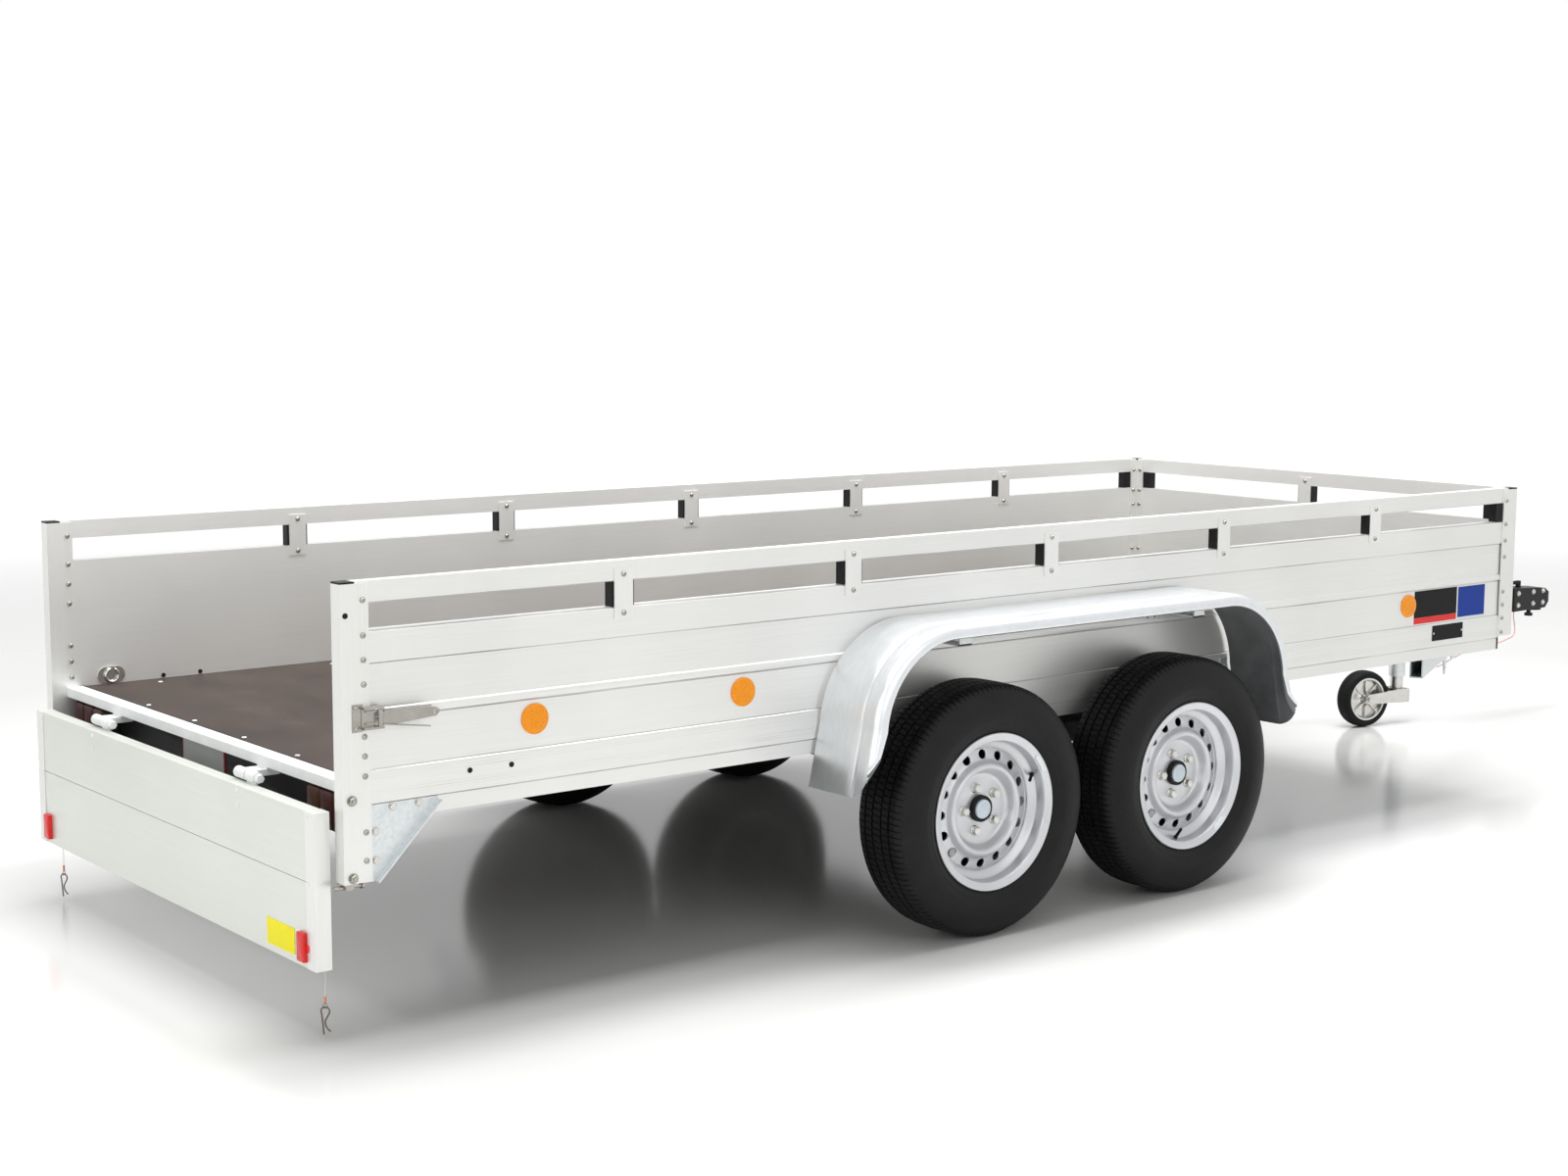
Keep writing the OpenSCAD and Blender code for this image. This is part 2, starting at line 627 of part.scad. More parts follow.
// tube swept along a list of points; up is a direction that the path never takes
function dir(p, i) = let(a = p[max(i - 1, 0)], b = p[min(i + 1, len(p) - 1)], d = b - a) d / norm(d);
function ring_points(p, i, r, up, n) = let(d = dir(p, i), c = cross(d, up), u = c / norm(c),
    v = cross(d, u))
  [for (k = [0 : n - 1]) p[i] + r * (cos(k * 360 / n) * u + sin(k * 360 / n) * v)];
module tube(p, r, up, n = 8) {
  m = len(p);
  points = [for (i = [0 : m - 1], q = ring_points(p, i, r, up, n)) q];
  skins = [for (i = [0 : m - 2], k = [0 : n - 1])
    [i * n + k, (i + 1) * n + k, (i + 1) * n + (k + 1) % n, i * n + (k + 1) % n]];
  ends = [[for (k = [0 : n - 1]) k], [for (k = [n - 1 : -1 : 0]) (m - 1) * n + k]];
  polyhedron(points, concat(skins, ends), convexity = 6);
}

module gate_lanyards() color("goldenrod") both()
  translate([lanyard_x, -lanyard_y, 0]) tube(lanyard_path, 1, [1, 0, 0]);

module gate_clips() color([0.3, 0.27, 0.22]) both() {
  // eyelet screw on the gate
  translate([gate_front, -lanyard_y, 190]) rotate([0, 90, 0]) cylinder(h = 5, r = 5);
  translate([lanyard_x, -lanyard_y + clip_y, 0]) {
    translate([0, 0, ferrule_z]) cylinder(h = 92 - ferrule_z, r = 2.5);
    // split ring through the clip's eye
    translate([0, 0, ferrule_z - 6.5]) rotate([90, 0, 150]) rotate_extrude()
      translate([5, 0]) circle(r = 1.2, $fn = 16);
    translate([0, 0, clip_z]) rotate([0, 0, 60]) tube(clip_path, clip_r, [0, 1, 0]);
  }
}

// ---------- axles and wheels ----------

// wheel frame: +Z points outwards from the trailer, origin in the wheel's middle plane
module at_wheel(x, s) translate([x, s * wheel_y, tyre_r]) rotate([-s * 90, 0, 0]) children();

module swing_arm(x, s) color("dimgray") {
  at_wheel(x, s) {
    translate([0, 0, arm_in]) cylinder(h = arm_t, r = 40);
    translate([0, 0, arm_in + arm_t - 1]) cylinder(h = -51 - arm_in - arm_t, r = 34);
    translate([0, 0, -53]) cylinder(h = 5, r = 112);
    translate([0, 0, -49]) cylinder(h = 58, r = 17.5);
  }
  // bar between the stub axle and the torsion shaft, a little thinner than the two eyes
  len = norm([tube_dx, tube_z - tyre_r]);
  turn = atan2(tube_z - tyre_r, tube_dx);
  translate([x, s * (wheel_y + arm_in + arm_t / 2), tyre_r]) rotate([0, -turn, 0])
    translate([0, -arm_t / 2 + 1, -30]) cube([len, arm_t - 2, 60]);
  translate([x + tube_dx, s * (wheel_y + arm_in + arm_t), tube_z]) rotate([s * 90, 0, 0]) {
    cylinder(h = arm_t, r = 38);
    cylinder(h = arm_t + 80, r = shaft_r - touch);
  }
}

half = tyre_w / 2;
tyre_out = [[178.3, 52], [178.3, 69.6], [181.1, 73.5], [196, 76.4], [206, half - 9], [220, half - 3],
  [236, half], [254, half - 0.6], [272, half - 4], [288, half - 10], [300, half - 17],
  [tyre_r - 6, half - 24], [tyre_r - 2, half - 34], [tyre_r - 0.6, half - 50], [tyre_r, 0]];
tyre_in = [[tyre_r - 14, 0], [tyre_r - 15, half - 44], [290, half - 29], [272, half - 18],
  [236, half - 12], [206, half - 22], [190, 58]];

function flipped(p) = [for (i = [len(p) - 1 : -1 : 0]) [p[i][0], -p[i][1]]];

module tyre(x, s) color([0.09, 0.09, 0.09]) at_wheel(x, s) rotate_extrude($fn = 96)
  polygon(concat(tyre_out, flipped([for (i = [0 : len(tyre_out) - 2]) tyre_out[i]]),
    flipped([for (i = [1 : len(tyre_in) - 1]) tyre_in[i]]), tyre_in));

module rim(x, s) color([0.8, 0.81, 0.82]) at_wheel(x, s) difference() {
  union() {
    rotate_extrude($fn = 96) polygon([[rim_r, 83], [rim_r, 77], [181, 74], [178, 70], [178, 52],
      [176, 45], [158, 34], [156, -5], [176, -30], [178, -70], [181, -74], [rim_r, -77],
      [rim_r, -83], [191, -82], [174, -77], [172, -32], [152, -8], [152, 37], [171.5, 49],
      [174, 77], [191, 83]]);
    rotate_extrude($fn = 96) polygon([[152.5, 26], [148, 31], [124, 37], [114, 50], [108, 53],
      [100, 52], [87, 25], [84, 24], [33.3, 24], [33.3, 20], [86, 20], [91, 23], [103, 48],
      [108, 49], [111, 47], [121, 33], [146, 27], [150, 21], [152.5, 21]]);
  }
  for (i = [0 : 15]) rotate(i * 22.5) translate([136, 0, 20]) cylinder(h = 30, r = 10.5, $fn = 32);
  for (i = [0 : 4]) rotate(i * 72 + 36) translate([56, 0, 10]) cylinder(h = 30, r = 7, $fn = 24);
}

module hub(x, s) color("lightgray") at_wheel(x, s) {
  difference() {
    union() {
      translate([0, 0, -42]) cylinder(h = 50, r = 108);
      cylinder(h = 20, r = 75);
      cylinder(h = 34, r = 33);
      translate([0, 0, 33]) cylinder(h = 14, r = 27);
      translate([0, 0, 47]) cylinder(h = 5, r1 = 27, r2 = 21);
    }
    translate([0, 0, -43]) cylinder(h = 58, r = 17.5 + touch);
  }
  for (i = [0 : 4]) rotate(i * 72 + 36) translate([56, 0, 20]) {
    cylinder(h = 6, r = 6.5, $fn = 24);
    translate([0, 0, 4]) cylinder(h = 5, r = 11, $fn = 24);
    translate([0, 0, 9]) cylinder(h = 12, r = 10, $fn = 6);
  }
}

// ---------- jockey wheel ----------

module at_jockey() translate([jockey_x, jockey_y, 0]) children();

module jockey_clamp() color("lightgray") {
  at_jockey() difference() {
    union() {
      translate([0, 0, sleeve_z]) cylinder(h = sleeve_h, r = sleeve_r);
      translate([0, 0, sleeve_z + 54]) cylinder(h = 14, r = sleeve_r + 4);
      translate([0, 0, beam_z + 12]) cylinder(h = 56, r = sleeve_r + 2);
      // block that bolts to the drawbar arm
      rotate([0, 0, slope]) translate([-22, -clamp_y, beam_z + 14]) cube([44, clamp_y, 52]);
    }
    translate([0, 0, stem_z]) cylinder(h = sleeve_z + sleeve_h - 8 - stem_z, r = stem_r + touch);
    translate([0, 0, stem_z + 400]) cylinder(h = 90, r = 8 + touch);
  }
  // clamp screw with its tee handle
  at_jockey() translate([0, sleeve_r, beam_z + 40]) rotate([-90, 0, 0]) {
    cylinder(h = 42, r = 6.5);
    translate([0, 0, 33]) rotate([0, 90, 0]) cylinder(h = 90, r = 5, center = true);
  }
}

module jockey_stem() color("silver") at_jockey() difference() {
  translate([0, 0, stem_z]) cylinder(h = 380, r = stem_r);
  translate([0, 0, stem_z - 1]) cylinder(h = 400, r = 10.3);
}

module at_trail() at_jockey() rotate([0, 0, 180 - trail_turn]) children();

module jockey_fork() color("whitesmoke") at_trail() {
  top = stem_z - touch;
  translate([0, 0, jockey_r - 22]) cylinder(h = top - jockey_r + 22, r = 30);
  translate([0, 0, top - 1]) cylinder(h = 60, r = 10);
  for (s = [-1, 1]) translate([0, s * 37 + 2.5, 0]) rotate([90, 0, 0]) linear_extrude(5)
    polygon([[-30, jockey_r - 22], [-30, top], [22, top], [trail + 2, jockey_r + 17],
      [trail + 16, jockey_r + 8], [trail + 16, jockey_r - 8], [trail + 2, jockey_r - 17]]);
  translate([-30, -37, jockey_r - 22]) cube([5, 74, top - jockey_r + 22]);
  translate([-12, -37, jockey_r - 22]) cube([24, 74, 8]);
  translate([trail, 0, jockey_r]) rotate([90, 0, 0]) {
    cylinder(h = 96, r = 6, center = true);
    for (z = [-48, 40]) translate([0, 0, z]) cylinder(h = 8, r = 9, $fn = 6);
  }
}

module jockey_tyre() color([0.1, 0.1, 0.1]) at_trail() translate([trail, 0, jockey_r])
  rotate([90, 0, 0]) rotate_extrude($fn = 72)
    polygon([[jockey_r - 25, -29], [jockey_r - 10, -30], [jockey_r - 3, -24], [jockey_r, -10],
      [jockey_r, 10], [jockey_r - 3, 24], [jockey_r - 10, 30], [jockey_r - 25, 29]]);

module jockey_rim() color("silver") at_trail() translate([trail, 0, jockey_r])
  rotate([90, 0, 0]) difference() {
    union() {
      difference() {
        cylinder(h = 56, r = jockey_r - 25.1, center = true);
        for (s = [-1, 1]) translate([0, 0, s * 33]) cylinder(h = 44, r = jockey_r - 31, center = true);
      }
      cylinder(h = 60, r = 18, center = true);
    }
    cylinder(h = 80, r = 6 + touch, center = true);
  }

module jockey_crank() color("silver") at_jockey() {
  top = sleeve_z + sleeve_h;
  translate([0, 0, top - 92]) cylinder(h = 120, r = 8);
  translate([0, 0, top + touch]) cylinder(h = 8, r = 16);
  translate([-9, -9, top + 14]) cube([140, 18, 12]);
  translate([120, 0, top + 20]) cylinder(h = 84, r = 6);
  translate([120, 0, top + 40]) cylinder(h = 64, r = 13);
}

// ---------- coupling ----------

module coupling_head() {
  z = coupling_z;
  color([0.08, 0.08, 0.08]) difference() {
    union() {
      translate([0, 38, 0]) rotate([90, 0, 0]) linear_extrude(76)
        polygon([[head_x, z - 42], [head_x, z + 46], [head_x + 120, z + 40], [nose_x - 24, z + 34],
          [nose_x, z + 18], [nose_x, z - 18], [nose_x - 20, z - 40]]);
      translate([nose_x - 50, 0, z - 48]) cylinder(h = 12, r = 34);
      translate([head_x + 106, -30, z - 64]) cylinder(h = 10, r = 15);
      translate([head_x + 106, -30, z - 56]) cylinder(h = 20, r = 8);
    }
    translate([nose_x - 50, 0, z - 60]) cylinder(h = 50, r = socket_r);
    box([head_x + 58, -9, z + 8], [head_x + 96, 9, z + 60]);
    translate([head_x + 76, 0, z + 26]) rotate([90, 0, 0]) cylinder(h = 100, r = 4.5, center = true);
  }
  color("silver") {
    for (s = [-1, 1], x = [26, 120, 182], dz = [-19, 25])
      translate([head_x + x, s * 38, z + dz]) rotate([-s * 90, 0, 0]) cylinder(h = 5, r = 7, $fn = 6);
    translate([shaft_x, 0, z]) rotate([0, 90, 0]) cylinder(h = head_x - shaft_x, r = 22);
    translate([head_x + 76, 0, z + 26]) rotate([90, 0, 0]) cylinder(h = 76, r = 4.5, center = true);
  }
}

module coupling_handle() color([0.12, 0.12, 0.12]) difference() {
  x = head_x + 76;
  z = coupling_z + 26;
  union() {
    translate([x, 0, z]) rotate([90, 0, 0]) cylinder(h = 17, r = 12, center = true);
    box([x - 6, -7, z], [x + 8, 7, z + 36]);
    box([x - 40, -7, z + 28], [x + 8, 7, z + 40]);
  }
  translate([x, 0, z]) rotate([90, 0, 0]) cylinder(h = 30, r = 4.5 + touch, center = true);
}

module handbrake_lever() translate([brake_x, 0, brake_z]) {
  color("silver") rotate([90, 0, 0]) cylinder(h = 46, r = 6, center = true);
  rotate([0, 30, 0]) {
    color("silver") box([-14, -11, -14], [14, 11, 190]);
    color([0.1, 0.1, 0.1]) translate([0, 0, 190]) cylinder(h = 95, r = 15);
  }
}

// thin wire from the coupling back to the plate under the right drawbar arm
breakaway_path = [[-180, -11, 406.6], [-180, -11.2, 396], [-182, -13, 381], [-191, -24, 357],
  [-220, -46, 336], [-272, -72, 325], [-350, -96, 321], [-440, -124, 321], [-540, -156, 324],
  [-640, -190, 330], [-740, -226, 337], [-840, -268, 343], [-940, -308, 345], [-1030, -342, 344],
  [-1110, -372, 341], [-1180, -396, 340]];

module breakaway_cable() color("crimson") translate([nose_x, 0, 0]) tube(breakaway_path, 1.5, [0.34, -1, 0]);

placed() deck_board();
placed() rear_crossbar();
placed() wall_side();  // wall_right
placed() mirror([0, 1, 0]) wall_side();  // wall_left
placed() wall_front();
placed() bottom_rails();
placed() top_rails();
placed() rear_posts();
placed() front_posts();
placed() end_caps();
placed() rail_spacers();
placed() rail_straps();
placed() frame_screws();
placed() corner_gussets();
placed() chassis_beams();
placed() drawbar_arms();
placed() overrun_housing();
placed() axle_beams();
placed() mudguards();
placed() side_reflectors();
placed() rear_lamps();
placed() latch_bases();
placed() lashing_cups();
placed() jockey_clamp();
placed() brake_linkage();
placed() breakaway_cable();
placed() gate_planks();
placed() gate_end_caps();
placed() gate_hinge_leaves();
placed() gate_reflectors();
placed() gate_lanyards();
placed() gate_clips();
placed() latch_lever();  // latch_lever_right
placed() mirror([0, 1, 0]) latch_lever();  // latch_lever_left
placed() lashing_ring();  // lashing_ring_right
placed() mirror([0, 1, 0]) lashing_ring();  // lashing_ring_left
placed() swing_arm(rear_axle_x, -1);  // arm_rear_right
placed() swing_arm(rear_axle_x, 1);  // arm_rear_left
placed() swing_arm(front_axle_x, -1);  // arm_front_right
placed() swing_arm(front_axle_x, 1);  // arm_front_left
placed() tyre(rear_axle_x, -1);  // tyre_rear_right
placed() tyre(rear_axle_x, 1);  // tyre_rear_left
placed() tyre(front_axle_x, -1);  // tyre_front_right
placed() tyre(front_axle_x, 1);  // tyre_front_left
placed() rim(rear_axle_x, -1);  // rim_rear_right
placed() rim(rear_axle_x, 1);  // rim_rear_left
placed() rim(front_axle_x, -1);  // rim_front_right
placed() rim(front_axle_x, 1);  // rim_front_left
placed() hub(rear_axle_x, -1);  // hub_rear_right
placed() hub(rear_axle_x, 1);  // hub_rear_left
placed() hub(front_axle_x, -1);  // hub_front_right
placed() hub(front_axle_x, 1);  // hub_front_left
placed() jockey_stem();
placed() jockey_fork();
placed() jockey_tyre();
placed() jockey_rim();
placed() jockey_crank();
placed() coupling_head();
placed() coupling_handle();
placed() handbrake_lever();
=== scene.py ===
import math

import bmesh
import bpy
import numpy as np
from mathutils import Matrix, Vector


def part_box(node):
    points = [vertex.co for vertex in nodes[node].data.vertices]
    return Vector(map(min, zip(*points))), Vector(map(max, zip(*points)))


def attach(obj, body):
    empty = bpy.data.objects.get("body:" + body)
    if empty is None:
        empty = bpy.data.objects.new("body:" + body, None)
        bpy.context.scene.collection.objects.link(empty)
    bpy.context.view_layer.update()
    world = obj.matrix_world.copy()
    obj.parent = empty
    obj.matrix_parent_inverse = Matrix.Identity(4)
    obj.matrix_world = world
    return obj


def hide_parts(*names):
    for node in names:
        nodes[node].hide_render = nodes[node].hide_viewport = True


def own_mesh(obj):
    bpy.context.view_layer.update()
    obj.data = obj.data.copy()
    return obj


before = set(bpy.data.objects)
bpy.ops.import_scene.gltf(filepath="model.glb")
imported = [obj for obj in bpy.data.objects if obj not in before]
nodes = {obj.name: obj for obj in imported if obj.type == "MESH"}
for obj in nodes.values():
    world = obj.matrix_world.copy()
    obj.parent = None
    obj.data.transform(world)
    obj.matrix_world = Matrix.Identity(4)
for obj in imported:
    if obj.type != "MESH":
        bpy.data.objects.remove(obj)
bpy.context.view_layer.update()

# everything is placed from the rear face of the rear posts, the centre plane and the ground
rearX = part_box("rear_posts")[0].x
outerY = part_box("rear_posts")[1].y            # outer face of the posts
postDepth = 0.0365                            # of a rear post, across the trailer
plankThick = 0.0285
wallOut = outerY - 0.004                      # outer face of the planks
wallIn = wallOut - plankThick
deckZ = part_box("deck_board")[1].z
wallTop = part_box("wall_right")[1].z
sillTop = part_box("bottom_rails")[1].z
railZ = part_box("top_rails")[0].z
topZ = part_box("end_caps")[1].z                # top of the end caps
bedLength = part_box("front_posts")[1].x - rearX


def at(x, y, z):
    return np.array([rearX + x, y, z])


# geometry tools
def grid(points, closeU=False, closeV=False, caps=False):
    # quads over a (u, v) array of points; caps closes the first and last row round their middles
    rows, cols = points.shape[:2]
    i, j = np.meshgrid(np.arange(rows - (not closeU)), np.arange(cols - (not closeV)), indexing="ij")
    i, j = i.ravel(), j.ravel()
    i2, j2 = (i + 1) % rows, (j + 1) % cols
    quads = np.stack([i * cols + j, i2 * cols + j, i2 * cols + j2, i * cols + j2], 1)
    verts, faces = points.reshape(-1, 3), quads.tolist()
    if caps:
        a = np.arange(cols)
        b = (a + 1) % cols
        last = (rows - 1) * cols
        verts = np.vstack([verts, points[0].mean(0), points[-1].mean(0)])
        n = len(verts)
        faces += np.stack([a, b, np.full(cols, n - 2)], 1).tolist()
        faces += np.stack([last + b, last + a, np.full(cols, n - 1)], 1).tolist()
    return verts, faces


def smoothCurve(points, count):
    # Catmull-Rom curve through the points, sampled evenly in its own parameter
    p = np.asarray(points, float)
    p = np.vstack([2 * p[0] - p[1], p, 2 * p[-1] - p[-2]])
    t = np.linspace(0, len(p) - 3 - 1e-9, count)
    k = t.astype(int)
    f = (t - k)[:, None]
    a, b, c, d = p[k], p[k + 1], p[k + 2], p[k + 3]
    return 0.5 * (2 * b + (c - a) * f + (2 * a - 5 * b + 4 * c - d) * f**2 + (3 * b - a - 3 * c + d) * f**3)


def revolve(profile, sides=32, closed=False):
    # a profile of (radius, height) turned round +Z; ends on the axis close by themselves
    profile = np.asarray(profile, float)
    angle = np.arange(sides) * 2 * math.pi / sides
    r, h = profile[:, 0][:, None], profile[:, 1][:, None]
    points = np.stack([r * np.cos(angle), r * np.sin(angle), h + 0 * angle], 2)
    return grid(points, closeU=closed, closeV=True, caps=not closed)


def tube(path, radius, sides=10, up=(0, 0, 1)):
    # a circle carried along a path, its first axis square to the path and to up
    path = np.asarray(path, float)
    along = np.gradient(path, axis=0)
    along /= np.linalg.norm(along, axis=1)[:, None]
    side = np.cross(along, up)
    side /= np.linalg.norm(side, axis=1)[:, None]
    other = np.cross(along, side)
    angle = np.arange(sides) * 2 * math.pi / sides
    rings = path[:, None] + radius * (side[:, None] * np.cos(angle)[None, :, None]
                                      + other[:, None] * np.sin(angle)[None, :, None])
    return grid(rings, closeV=True, caps=True)


def block(low, high, round=0.0):
    # a box whose upright edges are rounded, as an outline carried between two caps
    low, high = np.minimum(low, high), np.maximum(low, high)
    if round <= 0:
        x, y = [low[0], high[0], high[0], low[0]], [low[1], low[1], high[1], high[1]]
    else:
        a = np.radians(np.arange(0, 360, 15) + 7.5)
        x = np.where(np.cos(a) > 0, high[0] - round, low[0] + round) + round * np.cos(a)
        y = np.where(np.sin(a) > 0, high[1] - round, low[1] + round) + round * np.sin(a)
    ring = np.stack([x, y], 1)
    points = np.stack([np.column_stack([ring, np.full(len(ring), z)]) for z in (low[2], high[2])])
    return grid(points, closeV=True, caps=True)


def placed(part, origin, out=(0, 0, 1), side=(1, 0, 0)):
    # turns a part so that its +Z looks along out and its +X along side, then moves it to origin
    w = np.asarray(out, float) / np.linalg.norm(out)
    if abs(np.dot(side, w)) > 0.999 * np.linalg.norm(side):
        side = (0, 0, 1)
    u = np.asarray(side, float) - np.dot(side, w) * w
    u /= np.linalg.norm(u)
    axes = np.stack([u, np.cross(w, u), w])
    return part[0] @ axes + np.asarray(origin, float), part[1]


def mirrored(part):
    return part[0] * [1, -1, 1], [face[::-1] for face in part[1]]


def bothSides(parts):
    return parts + [mirrored(part) for part in parts]


def joined(parts):
    # many parts as one, each part's faces counted on from its own first point
    starts = np.cumsum([0] + [len(part[0]) for part in parts])
    faces = [[int(start + i) for i in face] for part, start in zip(parts, starts) for face in part[1]]
    return np.vstack([part[0] for part in parts]), faces


def makePiece(name, parts, body, material, stands=(), sharp=40, bevel=0.0):
    # one object from many parts, faces outwards, smooth except at edges over the sharp angle
    parts = parts if isinstance(parts, list) else [parts]
    verts, faces = joined(parts)
    mesh = bpy.data.meshes.new(name)
    mesh.from_pydata(verts.tolist(), [], faces)
    work = bmesh.new()
    work.from_mesh(mesh)
    bmesh.ops.remove_doubles(work, verts=work.verts, dist=1e-6)
    bmesh.ops.dissolve_degenerate(work, edges=work.edges, dist=1e-7)
    bmesh.ops.recalc_face_normals(work, faces=work.faces)
    work.to_mesh(mesh)
    work.free()
    mesh.shade_smooth()
    mesh.set_sharp_from_angle(angle=math.radians(sharp))
    piece = bpy.data.objects.new(name, mesh)
    bpy.context.scene.collection.objects.link(piece)
    for m in material if isinstance(material, list) else [material]:
        mesh.materials.append(m)
    if bevel:
        edge = piece.modifiers.new("edge", "BEVEL")
        edge.width = bevel
        edge.segments = 2
        edge.limit_method = "ANGLE"
        edge.angle_limit = math.radians(35)
        edge.harden_normals = True
    if body:
        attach(piece, body)
    if stands:
        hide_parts(*stands)
    return piece


cameraView = {"place": at(-2.2232, -5.0173, 1.5621), "heading": 51.3, "tilt": -7.2, "roll": 0.3,
              "lens": 53.45}


def makeCamera(view):
    heading, tilt, roll = (math.radians(view[k]) for k in ("heading", "tilt", "roll"))
    flat = math.cos(tilt)
    forward = np.array([flat * math.cos(heading), flat * math.sin(heading), math.sin(tilt)])
    right = np.cross(forward, [0, 0, 1])
    right /= np.linalg.norm(right)
    up = np.cross(right, forward)
    turned = np.stack([math.cos(roll) * right + math.sin(roll) * up,
                       math.cos(roll) * up - math.sin(roll) * right, -forward], 1)
    lens = bpy.data.cameras.new("camera")
    lens.lens = view["lens"]
    lens.clip_end = 100
    camera = bpy.data.objects.new("camera", lens)
    bpy.context.scene.collection.objects.link(camera)
    camera.matrix_world = Matrix.Translation(view["place"]) @ Matrix(turned.tolist()).to_4x4()
    bpy.context.scene.camera = camera


makeCamera(cameraView)
print("camera ready")


# node tools for the finishes
def finish(name, base, metallic=0.0, roughness=0.5, **sockets):
    material = bpy.data.materials.new(name)
    material.use_nodes = True
    shader = material.node_tree.nodes["Principled BSDF"]
    shader.inputs["Base Color"].default_value = (*base, 1)
    shader.inputs["Metallic"].default_value = metallic
    shader.inputs["Roughness"].default_value = roughness
    for socket, value in sockets.items():
        shader.inputs[socket.replace("_", " ")].default_value = value
    return material, material.node_tree, shader


def where(tree, scale=(1, 1, 1), turn=(0, 0, 0), uv=None):
    # Object coordinates, or a piece's own UV map, stretched by a Mapping node
    if uv:
        source = tree.nodes.new("ShaderNodeUVMap")
        source.uv_map = uv
        out = source.outputs["UV"]
    else:
        out = tree.nodes.new("ShaderNodeTexCoord").outputs["Object"]
    mapping = tree.nodes.new("ShaderNodeMapping")
    mapping.inputs["Scale"].default_value = scale
    mapping.inputs["Rotation"].default_value = [math.radians(a) for a in turn]
    tree.links.new(out, mapping.inputs["Vector"])
    return mapping.outputs["Vector"]


def noise(tree, vector, scale, detail=3, rough=0.5):
    node = tree.nodes.new("ShaderNodeTexNoise")
    node.inputs["Scale"].default_value = scale
    node.inputs["Detail"].default_value = detail
    node.inputs["Roughness"].default_value = rough
    tree.links.new(vector, node.inputs["Vector"])
    return node.outputs["Fac"]


def cells(tree, vector, scale):
    node = tree.nodes.new("ShaderNodeTexVoronoi")
    node.inputs["Scale"].default_value = scale
    tree.links.new(vector, node.inputs["Vector"])
    return node


def maths(tree, operation, a, b=None):
    node = tree.nodes.new("ShaderNodeMath")
    node.operation = operation
    for socket, value in zip(node.inputs, (a, b)):
        if value is None:
            continue
        if isinstance(value, (int, float)):
            socket.default_value = value
        else:
            tree.links.new(value, socket)
    return node.outputs[0]


def axisOf(tree, vector, axis):
    split = tree.nodes.new("ShaderNodeSeparateXYZ")
    tree.links.new(vector, split.inputs[0])
    return split.outputs[axis]


def spread(tree, value, low, high, fromLow=0.0, fromHigh=1.0):
    node = tree.nodes.new("ShaderNodeMapRange")
    for socket, number in zip(("From Min", "From Max", "To Min", "To Max"), (fromLow, fromHigh, low, high)):
        node.inputs[socket].default_value = number
    tree.links.new(value, node.inputs["Value"])
    return node.outputs["Result"]


def tint(tree, value, stops):
    node = tree.nodes.new("ShaderNodeValToRGB")
    band = node.color_ramp
    while len(band.elements) < len(stops):
        band.elements.new(0.5)
    for element, (place, colour) in zip(band.elements, stops):
        element.position = place
        element.color = (*colour, 1)
    tree.links.new(value, node.inputs["Fac"])
    return node.outputs["Color"]


def bump(tree, shader, height, strength, distance=0.001):
    node = tree.nodes.new("ShaderNodeBump")
    node.inputs["Strength"].default_value = strength
    node.inputs["Distance"].default_value = distance
    tree.links.new(height, node.inputs["Height"])
    tree.links.new(node.outputs["Normal"], shader.inputs["Normal"])


def colour(tree, shader, value, stops):
    tree.links.new(tint(tree, value, stops), shader.inputs["Base Color"])


def sheen(tree, shader, value, low, high):
    tree.links.new(spread(tree, value, low, high), shader.inputs["Roughness"])


def mix(tree, a, b, share):
    # share of the first value and the rest of the second
    return maths(tree, "ADD", maths(tree, "MULTIPLY", a, share), maths(tree, "MULTIPLY", b, 1 - share))


def shade(colour, k):
    return tuple(min(1.0, c * k) for c in colour)


def anodised(name, base=(0.78, 0.78, 0.76), rough=0.36, along="x", lines=(), ledges=()):
    # satin anodised extrusion: die lines along its length, slight clouding, fine drawn grooves darkened
    # with painted shade, and painted shade in the corner under each ledge
    material, tree, shader = finish(name, base, 0.66, rough)
    stretch = {"x": (0.6, 60, 60), "y": (60, 0.6, 60), "z": (60, 60, 0.6)}[along]
    die = noise(tree, where(tree, stretch), 7, 4, 0.6)
    cloud = noise(tree, where(tree), 2.3, 3)
    mixed = mix(tree, die, cloud, 0.5)
    z = axisOf(tree, where(tree), "Z")
    height = maths(tree, "MULTIPLY", die, 0.12)
    sideways = maths(tree, "ABSOLUTE", axisOf(tree, where(tree), "Y"))
    outside = maths(tree, "GREATER_THAN", sideways, wallIn + 0.02)
    # each groove line and the band just under each ledge is darkened in the colour: painted shade, the grooves
    # also sunk by bump
    grooves = [(line, 0.0009, 0.16) for line in lines]
    corners = [(ledge - 0.0012, 0.0016, 0.34) for ledge in ledges]
    for line, wide, dark in grooves + corners:
        away = maths(tree, "ABSOLUTE", maths(tree, "SUBTRACT", z, line))
        paintedShade = maths(tree, "MULTIPLY", maths(tree, "LESS_THAN", away, wide), outside)
        height = maths(tree, "SUBTRACT", height, paintedShade)
        mixed = maths(tree, "SUBTRACT", mixed, maths(tree, "MULTIPLY", paintedShade, dark))
    colour(tree, shader, mixed, [(0.05, shade(base, 0.42)), (0.3, shade(base, 0.94)),
                                 (0.7, shade(base, 1.05))])
    sheen(tree, shader, mixed, rough - 0.07, rough + 0.1)
    bump(tree, shader, height, 0.35, 0.0006)
    return material


